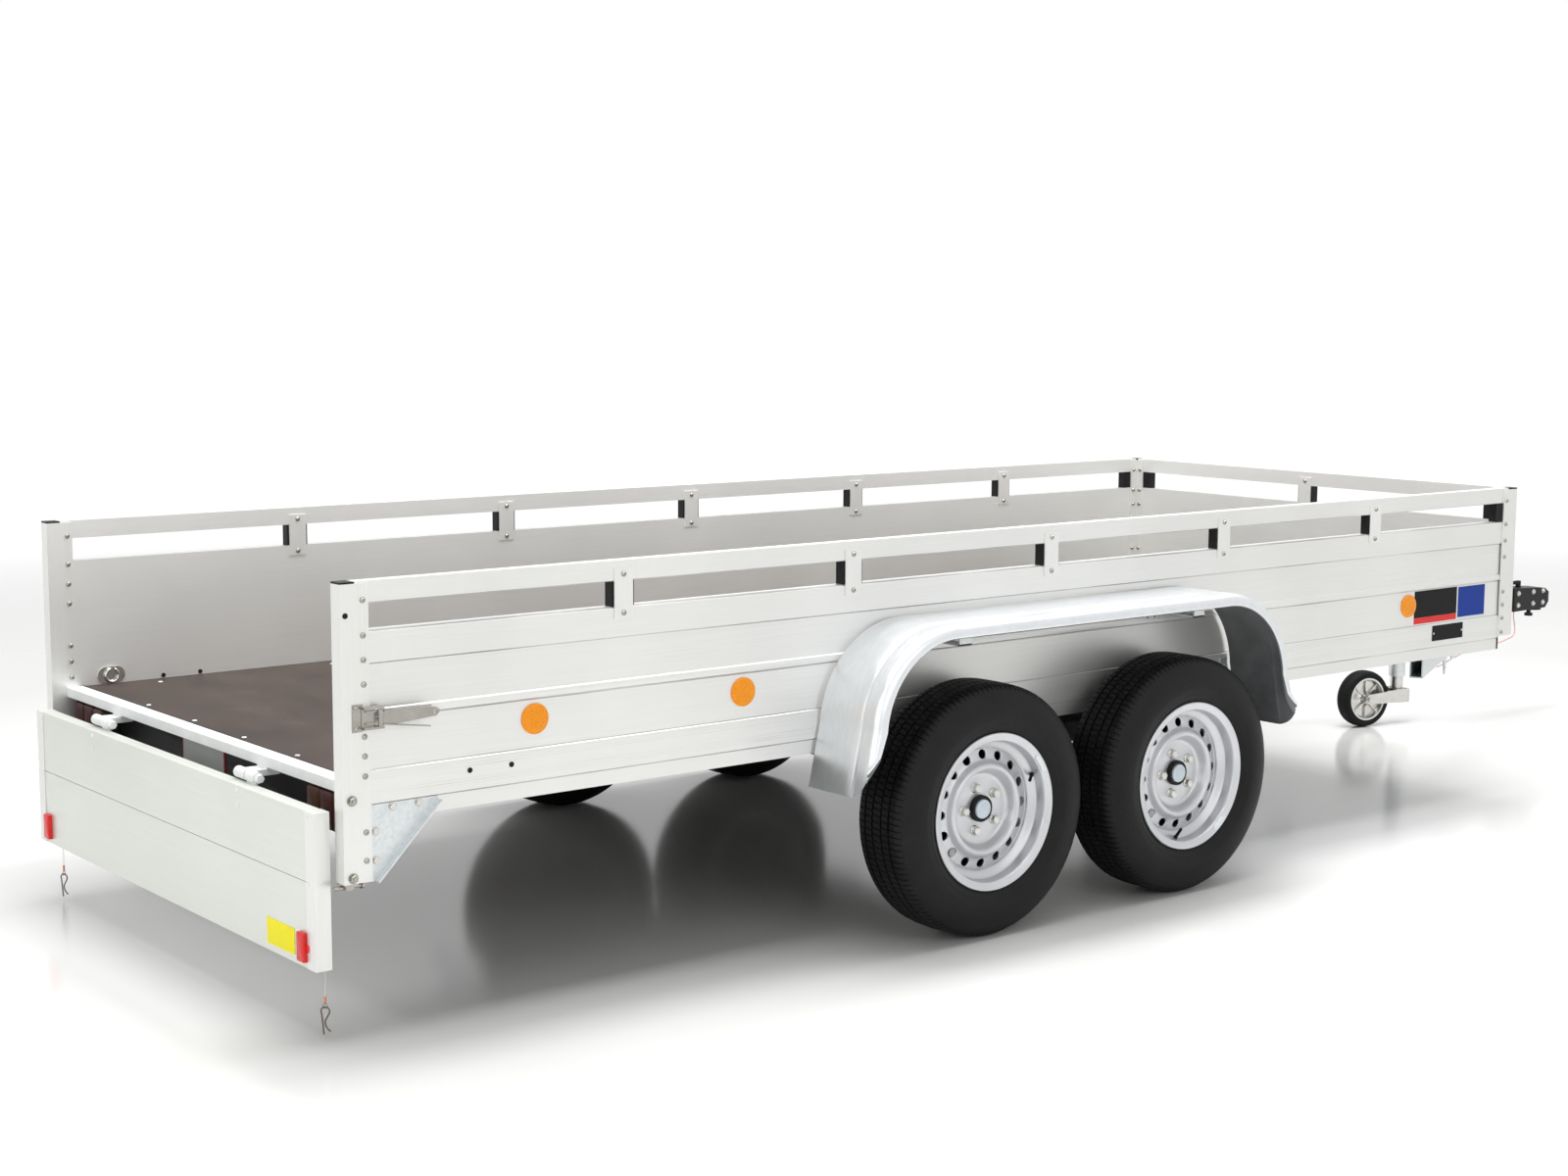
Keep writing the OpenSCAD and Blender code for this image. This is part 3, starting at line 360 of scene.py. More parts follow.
def filmPlywood():
    # phenolic film pressed with a wire mesh: a fine square weave, darker blotches and worn tops
    base = (0.048, 0.034, 0.028)
    material, tree, shader = finish("deck film", base, 0.0, 0.55, Specular_IOR_Level=0.14)
    flat = where(tree)
    blotch = noise(tree, where(tree, (1, 0.5, 1)), 6, 6, 0.65)
    fine = noise(tree, flat, 160, 3, 0.7)
    mixed = mix(tree, blotch, fine, 0.65)
    colour(tree, shader, mixed, [(0.34, (0.026, 0.018, 0.015)), (0.52, base), (0.7, (0.082, 0.062, 0.053))])
    sheen(tree, shader, blotch, 0.46, 0.64)
    step = 2 * math.pi / 0.0052
    weave = None
    for axis in ("X", "Y"):
        wave = maths(tree, "SINE", maths(tree, "MULTIPLY", axisOf(tree, flat, axis), step))
        weave = wave if weave is None else maths(tree, "MULTIPLY", weave, wave)
    bump(tree, shader, maths(tree, "ADD", weave, fine), 0.3, 0.0006)
    return material


def galvanised(name="galvanised steel", base=(0.66, 0.69, 0.70), rough=0.36):
    # hot-dip zinc: irregular spangles, each a little lighter or duller than the next
    material, tree, shader = finish(name, base, 0.75, rough)
    flake = cells(tree, where(tree), 130)
    wide = noise(tree, where(tree), 9, 4)
    glint = mix(tree, axisOf(tree, flake.outputs["Color"], "X"), wide, 0.6)
    colour(tree, shader, glint, [(0.1, shade(base, 0.9)), (0.5, base), (0.95, shade(base, 1.1))])
    sheen(tree, shader, glint, rough - 0.1, rough + 0.14)
    bump(tree, shader, glint, 0.12, 0.0004)
    return material


def zincPlate(name="bright zinc", base=(0.62, 0.61, 0.58), rough=0.2):
    material, tree, shader = finish(name, base, 0.95, rough)
    smear = noise(tree, where(tree), 45, 5, 0.6)
    colour(tree, shader, smear, [(0.3, shade(base, 0.9)), (0.7, shade(base, 1.08))])
    sheen(tree, shader, smear, rough - 0.05, rough + 0.08)
    bump(tree, shader, noise(tree, where(tree), 400, 2), 0.04, 0.0002)
    return material


def guardSheet():
    # pressed zinc-aluminium sheet: smooth and satin, with soft pressing waves and a few faint rubs
    base = (0.74, 0.76, 0.78)
    material, tree, shader = finish("mudguard sheet", base, 0.88, 0.3)
    wide = noise(tree, where(tree, (1, 1.6, 1)), 3.0, 2)
    rub = noise(tree, where(tree, (5, 14, 5)), 7, 5, 0.6)
    colour(tree, shader, rub, [(0.3, shade(base, 0.96)), (0.7, shade(base, 1.04))])
    sheen(tree, shader, rub, 0.26, 0.36)
    bump(tree, shader, wide, 0.03, 0.004)
    return material


def paint(name, base, rough=0.4, peel=0.08, specks=0.06, shine=0.5):
    # sprayed paint or powder coat: orange peel and a slight drift in tone
    material, tree, shader = finish(name, base, 0.0, rough, Specular_IOR_Level=shine)
    drift = noise(tree, where(tree), 14, 5, 0.6)
    colour(tree, shader, drift, [(0.3, shade(base, 1 - specks)), (0.7, shade(base, 1 + specks))])
    sheen(tree, shader, drift, rough - 0.08, rough + 0.1)
    bump(tree, shader, noise(tree, where(tree), 420, 2), peel, 0.0004)
    return material


def lens(name, base, glow=0.0):
    # moulded reflector: clear gloss over a field of tiny prisms, each painted lighter in its middle and darker at
    # its edge as painted highlight and shade, with a faint painted glow in place of the light it throws back
    material, tree, shader = finish(name, base, 0.0, 0.22, Coat_Weight=0.12, Coat_Roughness=0.08,
                                    Specular_IOR_Level=0.3, Emission_Strength=glow)
    shader.inputs["Emission Color"].default_value = (*base, 1)
    prism = cells(tree, where(tree, (1, 1, 1), (0, 0, 30)), 330)
    colour(tree, shader, prism.outputs["Distance"], [(0.0, shade(base, 1.2)), (0.7, shade(base, 0.78))])
    bump(tree, shader, prism.outputs["Distance"], 0.3, 0.0006)
    return material


def treadRubber():
    # tyre rubber: sipes cut across the tread, moulding rings on the sidewall, faint bloom
    base = (0.0052, 0.0052, 0.0054)
    material, tree, shader = finish("tyre rubber", base, 0.0, 0.46, Specular_IOR_Level=0.2)
    uv = where(tree, uv="tread")
    across = axisOf(tree, uv, "Y")
    round = axisOf(tree, uv, "X")
    bloom = noise(tree, where(tree), 12, 6, 0.65)
    colour(tree, shader, bloom, [(0.35, shade(base, 0.7)), (0.75, shade(base, 1.9))])
    sheen(tree, shader, bloom, 0.44, 0.62)
    onTread = maths(tree, "LESS_THAN", maths(tree, "ABSOLUTE", across), 0.066)
    bend = maths(tree, "MULTIPLY", maths(tree, "SINE", maths(tree, "MULTIPLY", across, 160)), 0.0022)
    cut = maths(tree, "SINE", maths(tree, "MULTIPLY", maths(tree, "ADD", round, bend), 2 * math.pi / 0.0098))
    sipe = maths(tree, "MULTIPLY", maths(tree, "GREATER_THAN", cut, 0.86), onTread)
    ring = maths(tree, "SINE", maths(tree, "MULTIPLY", across, 2 * math.pi / 0.0075))
    offTread = maths(tree, "SUBTRACT", 1.0, onTread)
    side = maths(tree, "MULTIPLY", maths(tree, "GREATER_THAN", ring, 0.93), offTread)
    grit = maths(tree, "MULTIPLY", noise(tree, where(tree), 500, 2), 0.25)
    height = maths(tree, "ADD", maths(tree, "SUBTRACT", grit, maths(tree, "MULTIPLY", sipe, 2.2)),
                   maths(tree, "MULTIPLY", side, 0.35))
    bump(tree, shader, height, 0.95, 0.0013)
    return material


def rimLacquer():
    # silver wheel lacquer: metal flake under a thin clear coat
    base = (0.60, 0.61, 0.63)
    material, tree, shader = finish("silver rim lacquer", base, 0.55, 0.33, Coat_Weight=0.25,
                                    Coat_Roughness=0.2)
    fleck = noise(tree, where(tree), 900, 1)
    wide = noise(tree, where(tree), 8, 4)
    colour(tree, shader, mix(tree, fleck, wide, 0.5), [(0.3, shade(base, 0.9)), (0.7, shade(base, 1.1))])
    sheen(tree, shader, wide, 0.26, 0.42)
    bump(tree, shader, fleck, 0.06, 0.0003)
    return material


# planks, rails and sill carry painted shade under their ledges, and the sill along its grooves too
plank = anodised("anodised plank", ledges=[sillTop + 0.0015, sillTop + 0.1085, sillTop + 0.2245, wallTop])
plankFront = anodised("anodised plank across", along="y")
sillGrooves = [sillTop - down for down in (0.007, 0.013, 0.019, 0.045, 0.051, 0.057)]
sillFinish = anodised("anodised bottom rail", lines=sillGrooves, ledges=[sillTop - 0.071])
railFinish = anodised("anodised top rail", ledges=[railZ + 0.0012])
postFinish = anodised("anodised post", along="z")
strapFinish = anodised("anodised strap", base=(0.80, 0.80, 0.78), rough=0.3, along="z")
gateFinish = anodised("anodised gate", along="y", base=(0.71, 0.73, 0.685))
deckFinish = filmPlywood()
galva = galvanised()
# a near-black copy of the galvanised finish for the parts under the bed: painted shade
shadedZinc = galvanised("zinc darkened as painted shade", (0.05, 0.053, 0.05), 0.55)
zinc = zincPlate()
nickel = zincPlate("worn nickel", (0.40, 0.385, 0.35), 0.24)
springSteel = zincPlate("dark spring steel", (0.16, 0.13, 0.11), 0.38)
sheet = guardSheet()
whitePaint = paint("white paint", (0.80, 0.82, 0.81), 0.35)
blackPaint = paint("black powder coat", (0.010, 0.010, 0.011), 0.42, 0.15, 0.2, 0.25)
blackPlastic = paint("black plastic", (0.008, 0.008, 0.009), 0.5, 0.12, 0.2, 0.2)
# a near-black finish, darker than the black plastic, for the drum seen through the vents
brakeBlack = paint("near-black drum finish", (0.003, 0.003, 0.003), 0.8, 0.2, 0.3, 0.05)
# the guards' dark underside: partly a dark undercoat, partly painted shade
guardUndercoatShade = paint("guard underside undercoat and shade", (0.15, 0.155, 0.16), 0.5, 0.3, 0.2, 0.3)
rubber = treadRubber()
plainRubber = paint("plain rubber", (0.008, 0.008, 0.008), 0.62, 0.2, 0.25, 0.15)
rimFinish = rimLacquer()
# the reflector finishes glow faintly: painted light
amber = lens("amber lens", (0.95, 0.30, 0.0), 0.12)
red = lens("red lens", (0.72, 0.016, 0.012), 0.12)
copper = zincPlate("copper ferrule", (0.66, 0.22, 0.09), 0.35)
wireRed = paint("red coated wire", (0.75, 0.16, 0.12), 0.35)
capWhite = paint("pale grease cap", (0.62, 0.70, 0.76), 0.3)
capGrey = paint("grey vent plug", (0.42, 0.43, 0.43), 0.5)
yellowLabel = paint("yellow plate", (0.98, 0.86, 0.01), 0.45, shine=0.2)
blueLabel = paint("blue plate", (0.006, 0.040, 0.30), 0.45, shine=0.2)
darkLabel = paint("dark plate", (0.006, 0.006, 0.007), 0.5, 0.1, 0.2, 0.15)
lampRed = paint("dark lamp lens", (0.045, 0.003, 0.003), 0.4, shine=0.25)
lampSmoke = paint("smoked lamp lens", (0.05, 0.014, 0.004), 0.4, shine=0.25)
redEdge = paint("red plate edge", (0.45, 0.01, 0.01), 0.4, shine=0.3)

cadFinish = {
    deckFinish: "deck_board", plank: "wall_right wall_left", plankFront: "wall_front",
    sillFinish: "bottom_rails", railFinish: "top_rails", strapFinish: "rail_straps",
    postFinish: "rear_posts front_posts gate_end_caps", gateFinish: "gate_planks",
    whitePaint: "rear_crossbar gate_hinge_leaves", blackPaint: "coupling_head", lampRed: "rear_lamps",
    blackPlastic: "end_caps rail_spacers coupling_handle", springSteel: "gate_clips",
    nickel: "frame_screws latch_bases latch_lever_right latch_lever_left",
    galva: "corner_gussets drawbar_arms overrun_housing jockey_clamp brake_linkage",
    shadedZinc: "chassis_beams axle_beams arm_rear_right arm_rear_left arm_front_right arm_front_left"}
finishOf = {name: look for look, names in cadFinish.items() for name in names.split()}
for name, node in nodes.items():
    look = finishOf.get(name, zinc)
    if not node.material_slots:
        node.data.materials.append(look)
    for place in node.material_slots:
        place.material = look
print("finishes ready")


# the breakaway wire and the two clip lanyards; routes are in millimetres from the nose or the gate
breakaway = {"nose": 5.450, "wire": 0.003, "route": [
    (-180, -11, 406.6), (-180, -11.2, 396), (-182, -13, 381), (-191, -24, 357), (-220, -46, 336),
    (-272, -72, 325), (-350, -96, 321), (-440, -124, 321), (-540, -156, 324), (-640, -190, 330),
    (-740, -226, 337), (-840, -268, 343), (-940, -308, 345), (-1030, -342, 344), (-1110, -372, 341),
    (-1180, -396, 340)]}
lanyard = {"x": -0.005, "y": 0.717, "wire": 0.002,
           "route": [(0, 0, 184.8), (0, 0, 178), (0.5, 0.5, 165), (1, 1, 150), (1, 2, 135), (1, 3, 120),
                     (0.5, 4, 106), (0, 4, 98), (0, 4, 92)],
           "clipWire": 0.0017, "clipZ": 0.060, "ring": 0.005}


def turnedBy(points, angle):
    # points turned about +Z
    c, s = math.cos(angle), math.sin(angle)
    return points @ np.array([[c, s, 0], [-s, c, 0], [0, 0, 1]])


def wirePath(route, origin, flip=1):
    points = np.array(route, float) / 1000 * [1, flip, 1]
    return smoothCurve(points, 4 * len(points)) + origin


def makeBreakaway(c):
    path = wirePath(c["route"], at(c["nose"], 0, 0))
    piece = makePiece("breakaway_wire", tube(path, c["wire"] / 2, 10, (0.34, -1, 0)), "frame", wireRed,
                      ["breakaway_cable"])


def makeLanyard(c, side, label):
    origin = at(c["x"], side * c["y"], 0)
    flip = -side
    path = wirePath(c["route"], origin, flip)
    body = "tailgate"
    wire = makePiece("lanyard_" + label, tube(path, c["wire"] / 2, 10, (0, 1, 0.2)), body, zinc,
                     ["gate_lanyards"])
    end = path[-1]
    neck = end - [0, 0, 0.0142]
    crimp = np.array([(0.0013, 0.0004), (0.0022, 0), (0.0025, 0.0008), (0.0025, 0.0045), (0.0022, 0.0056),
                      (0.0022, 0.0078), (0.0025, 0.0089), (0.0025, 0.0134), (0.0022, 0.0142), (0.0013, 0.0138)])
    ferrule = makePiece("ferrule_" + label, placed(revolve(crimp, 16), neck), body, copper,
                        ["gate_lanyards"])
    # split ring: two turns of flat wire, one lying on the other
    turn = np.linspace(0, 4 * math.pi, 65)
    ringPath = np.column_stack([c["ring"] * np.cos(turn), 0.0006 * (turn / (2 * math.pi) - 1),
                                c["ring"] * np.sin(turn)])
    ringPath = turnedBy(ringPath, math.radians(150) * flip) + neck + [0, 0, -0.0063]
    ring = makePiece("split_ring_" + label, tube(ringPath, 0.0006, 8, (0.3, 1, 0.1)), body, springSteel,
                     ["gate_clips"])
    # R-clip: a straight leg, nearly a full eye, and a waved leg that springs back
    bend = np.radians(np.arange(205, -36, -12))
    eye = np.column_stack([9.5 * np.cos(bend), 0 * bend, 9.5 * np.sin(bend)])
    points = np.vstack([[(-4, 0, -50), (-5.4, 0, -34), (-7, 0, -18)], eye,
                        [(3, 0, -14), (-0.5, 0, -21), (0.2, 0, -30), (5, 0, -38), (11, 0, -43)]]) / 1000
    aside = math.radians(-48 if flip > 0 else -60)
    centre = np.array([end[0], end[1], c["clipZ"]])
    across = (-math.sin(aside), math.cos(aside), 0)
    clip = tube(smoothCurve(turnedBy(points, aside), 110) + centre, c["clipWire"], 10, across)
    makePiece("r_clip_" + label, clip, body, springSteel, ["gate_clips"])


makeBreakaway(breakaway)
makeLanyard(lanyard, -1, "right")
makeLanyard(lanyard, 1, "left")
print("cords ready")


tyreShape = {"pitches": 124, "grooves": ((0.0126, 0.0178), (0.0392, 0.0446)), "depth": 0.0065, "sipe": 0.0032,
             "treadLength": 1.9596}


def tyreRows(shape):
    # rows from the tread's middle to the bead: (distance out, radius, how much of the sipes, pitch shift)
    a, b = shape["grooves"]
    crown = np.array([(0, 0.3135), (0.043, 0.3129), (0.059, 0.3115), (0.069, 0.3075), (0.076, 0.300)])
    edgesA, edgesB = ([end + d for end in groove for d in (-0.0004, 0.0004)] for groove in (a, b))
    z = np.array([0, 0.004, 0.0085, *edgesA, 0.024, 0.031, *edgesB, 0.053, 0.060, 0.066, 0.0715, 0.076])
    low = ((z > a[0]) & (z < a[1])) | ((z > b[0]) & (z < b[1]))
    r = np.interp(z, crown[:, 0], crown[:, 1]) - shape["depth"] * low
    cut = np.where(low, 0.0, 1.0)
    cut[-2:] = 0.8, 0.3
    rib = np.where(z < a[0], 0.0, np.where(z < b[0], 0.45, 0.2))
    lean = rib + z * 9.0
    wall = smoothCurve([(0.076, 0.300), (0.083, 0.288), (0.089, 0.272), (0.0924, 0.254), (0.093, 0.236),
                        (0.0895, 0.220), (0.084, 0.206), (0.0772, 0.196), (0.0735, 0.1816), (0.0696, 0.1783),
                        (0.052, 0.1783)], 46)[1:]
    ring = 0.0007 * ((abs(wall[:, 1] - 0.281) < 0.0013) | (abs(wall[:, 1] - 0.2135) < 0.002)
                     | (abs(wall[:, 1] - 0.1985) < 0.0013))
    wall[:, 0] = np.minimum(wall[:, 0] + ring, 0.093)
    zs, rs = np.concatenate([z, wall[:, 0]]), np.concatenate([r, wall[:, 1]])
    more = np.zeros(len(wall))
    return zs, rs, np.concatenate([cut, more]), np.concatenate([lean, more + lean[-1]])


def tyreSurface(shape):
    # the section is carried round the axle; each pitch has one sipe across it, shifted from rib to rib
    z, r, cut, lean = tyreRows(shape)
    z, r = np.concatenate([-z[:0:-1], z]), np.concatenate([r[:0:-1], r])
    cut, lean = np.concatenate([cut[:0:-1], cut]), np.concatenate([-lean[:0:-1], lean])
    inner = np.array([(0.058, 0.190), (0.071, 0.206), (0.081, 0.236), (0.075, 0.272), (0.064, 0.290),
                      (0.049, 0.2985), (0, 0.2995), (-0.049, 0.2985), (-0.064, 0.290), (-0.075, 0.272),
                      (-0.081, 0.236), (-0.071, 0.206), (-0.058, 0.190)])
    z, r = np.concatenate([z, inner[:, 0]]), np.concatenate([r, inner[:, 1]])
    cut = np.concatenate([cut, np.zeros(len(inner))])
    lean = np.concatenate([lean, np.linspace(lean[-1], lean[0], len(inner) + 2)[1:-1]])
    inPitch = np.array([0.0, 0.36, 0.70, 0.74, 0.84, 0.88])
    drop = np.array([0, 0, 0, 1, 1, 0.0])
    turn = (np.arange(shape["pitches"])[:, None] + inPitch).ravel()
    depth = np.tile(drop, shape["pitches"]) * shape["sipe"]
    angle = (turn[None, :] + lean[:, None]) * 2 * math.pi / shape["pitches"]
    radius = r[:, None] - cut[:, None] * depth[None, :]
    return np.stack([radius * np.cos(angle), radius * np.sin(angle), z[:, None] + 0 * angle], 2)


def addTreadMap(mesh, centre, side, treadLength):
    # u runs round the tread, v is the distance along the section from the tread's middle
    count = len(mesh.loops)
    index = np.empty(count, np.int32)
    mesh.loops.foreach_get("vertex_index", index)
    places = np.empty(len(mesh.vertices) * 3)
    mesh.vertices.foreach_get("co", places)
    p = places.reshape(-1, 3) - centre
    angle = np.arctan2(p[:, 2], p[:, 0])[index]
    starts = np.empty(len(mesh.polygons), np.int32)
    totals = np.empty(len(mesh.polygons), np.int32)
    mesh.polygons.foreach_get("loop_start", starts)
    mesh.polygons.foreach_get("loop_total", totals)
    face = np.repeat(np.arange(len(starts)), totals)
    high = np.maximum.reduceat(angle, starts)[face]
    angle = np.where(high - angle > math.pi, angle + 2 * math.pi, angle)
    radius = np.hypot(p[:, 0], p[:, 2])[index]
    across = np.abs(p[:, 1])[index]
    section = np.where(radius > 0.300, across, 0.076 + (0.300 - radius))
    uv = np.column_stack([angle / (2 * math.pi) * treadLength, section * np.sign(p[:, 1][index]) * side])
    mesh.uv_layers.new(name="tread").data.foreach_set("uv", uv.ravel())


rimShape = {"sides": 128, "ventRadius": 0.0118, "ventCircle": 0.136, "ventInner": 0.1235, "ventOuter": 0.1485,
            "sheet": 0.0045}


def rimParts(shape):
    # barrel, vented band and dished middle; all are turned round the axle and meet at the same points
    front = lambda r: np.interp(r, [0.1235, 0.130, 0.142, 0.1485], [0.0368, 0.0342, 0.0312, 0.0296])
    barrel = [(0.1485, 0.0296), (0.1505, 0.0289), (0.1518, 0.0302), (0.152, 0.0362), (0.1535, 0.0386),
              (0.158, 0.0412), (0.1655, 0.0452), (0.1698, 0.0474), (0.1716, 0.0496), (0.1721, 0.053),
              (0.1729, 0.068), (0.1738, 0.0746), (0.1755, 0.0772), (0.180, 0.0791), (0.187, 0.0812),
              (0.1912, 0.0829), (0.1938, 0.083), (0.1953, 0.0815), (0.1954, 0.0786), (0.1935, 0.0768),
              (0.187, 0.0753), (0.1812, 0.0741), (0.1783, 0.0702), (0.178, 0.0535), (0.1758, 0.0453),
              (0.160, 0.0355), (0.1566, 0.0310), (0.156, -0.005), (0.160, -0.012), (0.176, -0.030),
              (0.178, -0.070), (0.181, -0.074), (0.1954, -0.077), (0.1953, -0.0825), (0.191, -0.083),
              (0.174, -0.077), (0.1722, -0.033), (0.166, -0.026), (0.1535, -0.011), (0.152, -0.007),
              (0.152, 0.0215), (0.1505, 0.0242), (0.1485, 0.0251)]
    middle = smoothCurve([
        (0.1235, 0.0368), (0.1205, 0.0402), (0.117, 0.0455), (0.1135, 0.0503), (0.1085, 0.0529), (0.1035, 0.0522),
        (0.0995, 0.0485), (0.096, 0.042), (0.0915, 0.0318), (0.088, 0.0266), (0.0835, 0.0247), (0.076, 0.0242),
        (0.0665, 0.0242), (0.056, 0.0242), (0.0455, 0.0242), (0.038, 0.0242), (0.0333, 0.0242)], 52).tolist()
    back = [(0.0333, 0.0205), (0.0835, 0.0202), (0.0875, 0.0218), (0.0915, 0.0272), (0.0965, 0.038),
            (0.1015, 0.0462), (0.1085, 0.0486), (0.1125, 0.0465), (0.1165, 0.0405), (0.1205, 0.0347),
            (0.1235, 0.0323)]
    angle = np.arange(shape["sides"]) * 2 * math.pi / shape["sides"]

    def turned(profile, lobes=0.0):
        p = np.array(profile)
        r, z = p[:, 0][:, None], p[:, 1][:, None]
        # five raised pads round the bolts, fading out at the edge of the flat
        near = np.clip((r - 0.036) / 0.012, 0, 1) * np.clip((0.083 - r) / 0.016, 0, 1) * (z > 0.022)
        pad = lobes * near * (0.5 + 0.5 * np.cos(5 * (angle - math.radians(36)))) ** 1.5
        return grid(np.stack([r * np.cos(angle), r * np.sin(angle), z + pad], 2), closeV=True)

    # one vent's cell: from the cell's border to the hole's edge, down its wall, and back underneath
    step = 2 * math.pi / 16
    edge = np.concatenate([[(0.5, v) for v in np.linspace(-0.5, 0.5, 9)[:-1]],
                           [(u, 0.5) for u in np.linspace(0.5, -0.5, 9)[:-1]],
                           [(-0.5, v) for v in np.linspace(0.5, -0.5, 9)[:-1]],
                           [(u, -0.5) for u in np.linspace(-0.5, 0.5, 9)[:-1]]])
    width = shape["ventOuter"] - shape["ventInner"]
    turn = edge[:, 1] * step
    border = 0.5 * (shape["ventOuter"] + shape["ventInner"]) + edge[:, 0] * width
    bx, by = border * np.cos(turn), border * np.sin(turn)
    away = np.arctan2(by, bx - shape["ventCircle"])
    hx = shape["ventCircle"] + shape["ventRadius"] * np.cos(away)
    hy = shape["ventRadius"] * np.sin(away)
    blend = np.array([0, 0.35, 0.7, 0.9, 1.0])[:, None]
    x, y = bx + (hx - bx) * blend, by + (hy - by) * blend
    z = front(np.hypot(x, y)) - np.array([0, 0, 0, 0.0002, 0.0011])[:, None]
    under = front(np.hypot(x, y)) - shape["sheet"]
    cell = np.concatenate([np.stack([x, y, z], 2), np.stack([x, y, under], 2)[::-1]])
    cells16 = []
    for k in range(16):
        cells16.append(grid(turnedBy(cell, k * step), closeV=True))
    return [turned(barrel), turned(middle + back, 0.0021)] + cells16


hub = {"bolts": 5, "boltCircle": 0.056, "firstBolt": 36}


def makeWheel(corner):
    low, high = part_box("tyre_" + corner)
    centre = np.array((low + high) / 2)
    side = 1 if centre[1] > 0 else -1
    out = (0, side, 0)
    body = "wheel_" + corner
    front = corner.startswith("front")

    def set(part, shift=(0, 0, 0)):
        return placed((part[0] + np.array(shift), part[1]), centre, out)

    points = tyreSurface(tyreShape)
    tyre = makePiece("tread_tyre_" + corner, set(grid(points, closeU=True, closeV=True)), body, rubber,
                     ["tyre_" + corner], sharp=35)
    addTreadMap(tyre.data, centre, side, tyreShape["treadLength"])
    makePiece("vented_rim_" + corner, [set(p) for p in rimParts(rimShape)], body, rimFinish,
              ["rim_" + corner], sharp=30)
    # hub: drum behind the disc, black centring ring, pale grease cap and five washer-faced bolts
    drum = revolve([(0, -0.042), (0.105, -0.042), (0.108, -0.039), (0.108, 0.002), (0.147, 0.012),
                    (0.147, 0.014), (0.108, 0.006), (0.106, 0.008), (0.077, 0.008), (0.075, 0.0095),
                    (0.075, 0.0195), (0.074, 0.020), (0, 0.020)], 64)
    makePiece("hub_drum_" + corner, set(drum), body, brakeBlack, ["hub_" + corner])
    ring = revolve([(0.0225, 0.0212), (0.0325, 0.0212), (0.0330, 0.0225), (0.0330, 0.0350),
                    (0.0322, 0.0368), (0.0305, 0.0375), (0.0262, 0.0375), (0.0250, 0.0366),
                    (0.0245, 0.0350), (0.0225, 0.0350)], 48, closed=True)
    makePiece("hub_ring_" + corner, set(ring), body, blackPlastic, ["hub_" + corner])
    cap = revolve([(0, 0.022), (0.0235, 0.022), (0.0240, 0.023), (0.0240, 0.0385), (0.0234, 0.0402),
                   (0.0222, 0.0412), (0.0200, 0.0417), (0.0175, 0.0418), (0.0165, 0.0412),
                   (0.0155, 0.0412), (0.0145, 0.0420), (0.008, 0.0424), (0, 0.0425)], 40)
    makePiece("grease_cap_" + corner, set(cap), body, capWhite, ["hub_" + corner])
    washer = revolve([(0, 0.0245), (0.0125, 0.0245), (0.0132, 0.0255), (0.0128, 0.0275),
                      (0.0110, 0.0294), (0, 0.0294)], 24)
    hexagon = revolve([(0, 0.029), (0.0108, 0.029), (0.0110, 0.0296), (0.0110, 0.0392), (0.0096, 0.0409),
                       (0.0070, 0.0412), (0.0062, 0.0402), (0, 0.0402)], 6)
    bolts = []
    for k in range(hub["bolts"]):
        a = math.radians(360 / hub["bolts"] * k + hub["firstBolt"])
        shift = (hub["boltCircle"] * math.cos(a), hub["boltCircle"] * math.sin(a), 0)
        bolts += [set(washer, shift), set(hexagon, shift)]
    makePiece("wheel_bolts_" + corner, bolts, body, zinc, ["hub_" + corner], sharp=28)
    # valve, balance weight on the flange, and the plug in one vent
    valveTurn = math.radians(-96 if front else 24)
    weightTurn = math.radians(-50 if front else 34)
    stem = revolve([(0, 0), (0.0052, 0), (0.0058, 0.002), (0.0046, 0.005), (0.0040, 0.018), (0.0042, 0.0185),
                    (0.0042, 0.030), (0.0034, 0.0315), (0, 0.0315)], 14)
    v = np.array([math.cos(valveTurn), math.sin(valveTurn), 0])
    start = v * 0.1695 + [0, 0, 0.048]
    makePiece("valve_" + corner, set(placed(stem, start, tuple(np.array([0, 0, 0.55]) - v * 0.83))), body,
              plainRubber, ["rim_" + corner])
    span = np.linspace(-0.135, 0.135, 25)
    section = np.array([(0.1775, 0.0792), (0.183, 0.0797), (0.1895, 0.0815), (0.1925, 0.0829), (0.1885, 0.0829),
                        (0.182, 0.0822), (0.1785, 0.0812)])
    a = weightTurn + span[:, None]
    ends = 1 - 0.55 * (np.abs(span) > 0.13)[:, None]
    mid = section.mean(0)
    r = mid[0] + (section[:, 0] - mid[0]) * ends
    z = mid[1] + (section[:, 1] - mid[1]) * ends
    makePiece("wheel_weight_" + corner, set(grid(np.stack([r * np.cos(a), r * np.sin(a), z + 0 * a], 2),
                                                 closeV=True, caps=True)), body, galva,
              ["rim_" + corner])
    p = math.radians(-135)
    plug = revolve([(0, 0.0275), (0.0103, 0.0275), (0.0103, 0.0322), (0.0108, 0.0334), (0.0098, 0.0342),
                    (0, 0.0347)], 28)
    makePiece("vent_plug_" + corner, set(plug, (0.136 * math.cos(p), 0.136 * math.sin(p), 0)), body, capGrey,
              ["rim_" + corner])


for corner in ("rear_right", "rear_left", "front_right", "front_left"):
    makeWheel(corner)
print("wheels ready")


guard = {"inner": 0.800, "outer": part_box("mudguards")[1].y, "low": 0.396, "top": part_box("mudguards")[1].z,
         "middle": 2.0075, "half": 0.7745, "arc": 0.250, "lean": 0.034, "corner": 0.070,
         "sheet": 0.0016, "edge": 0.024}


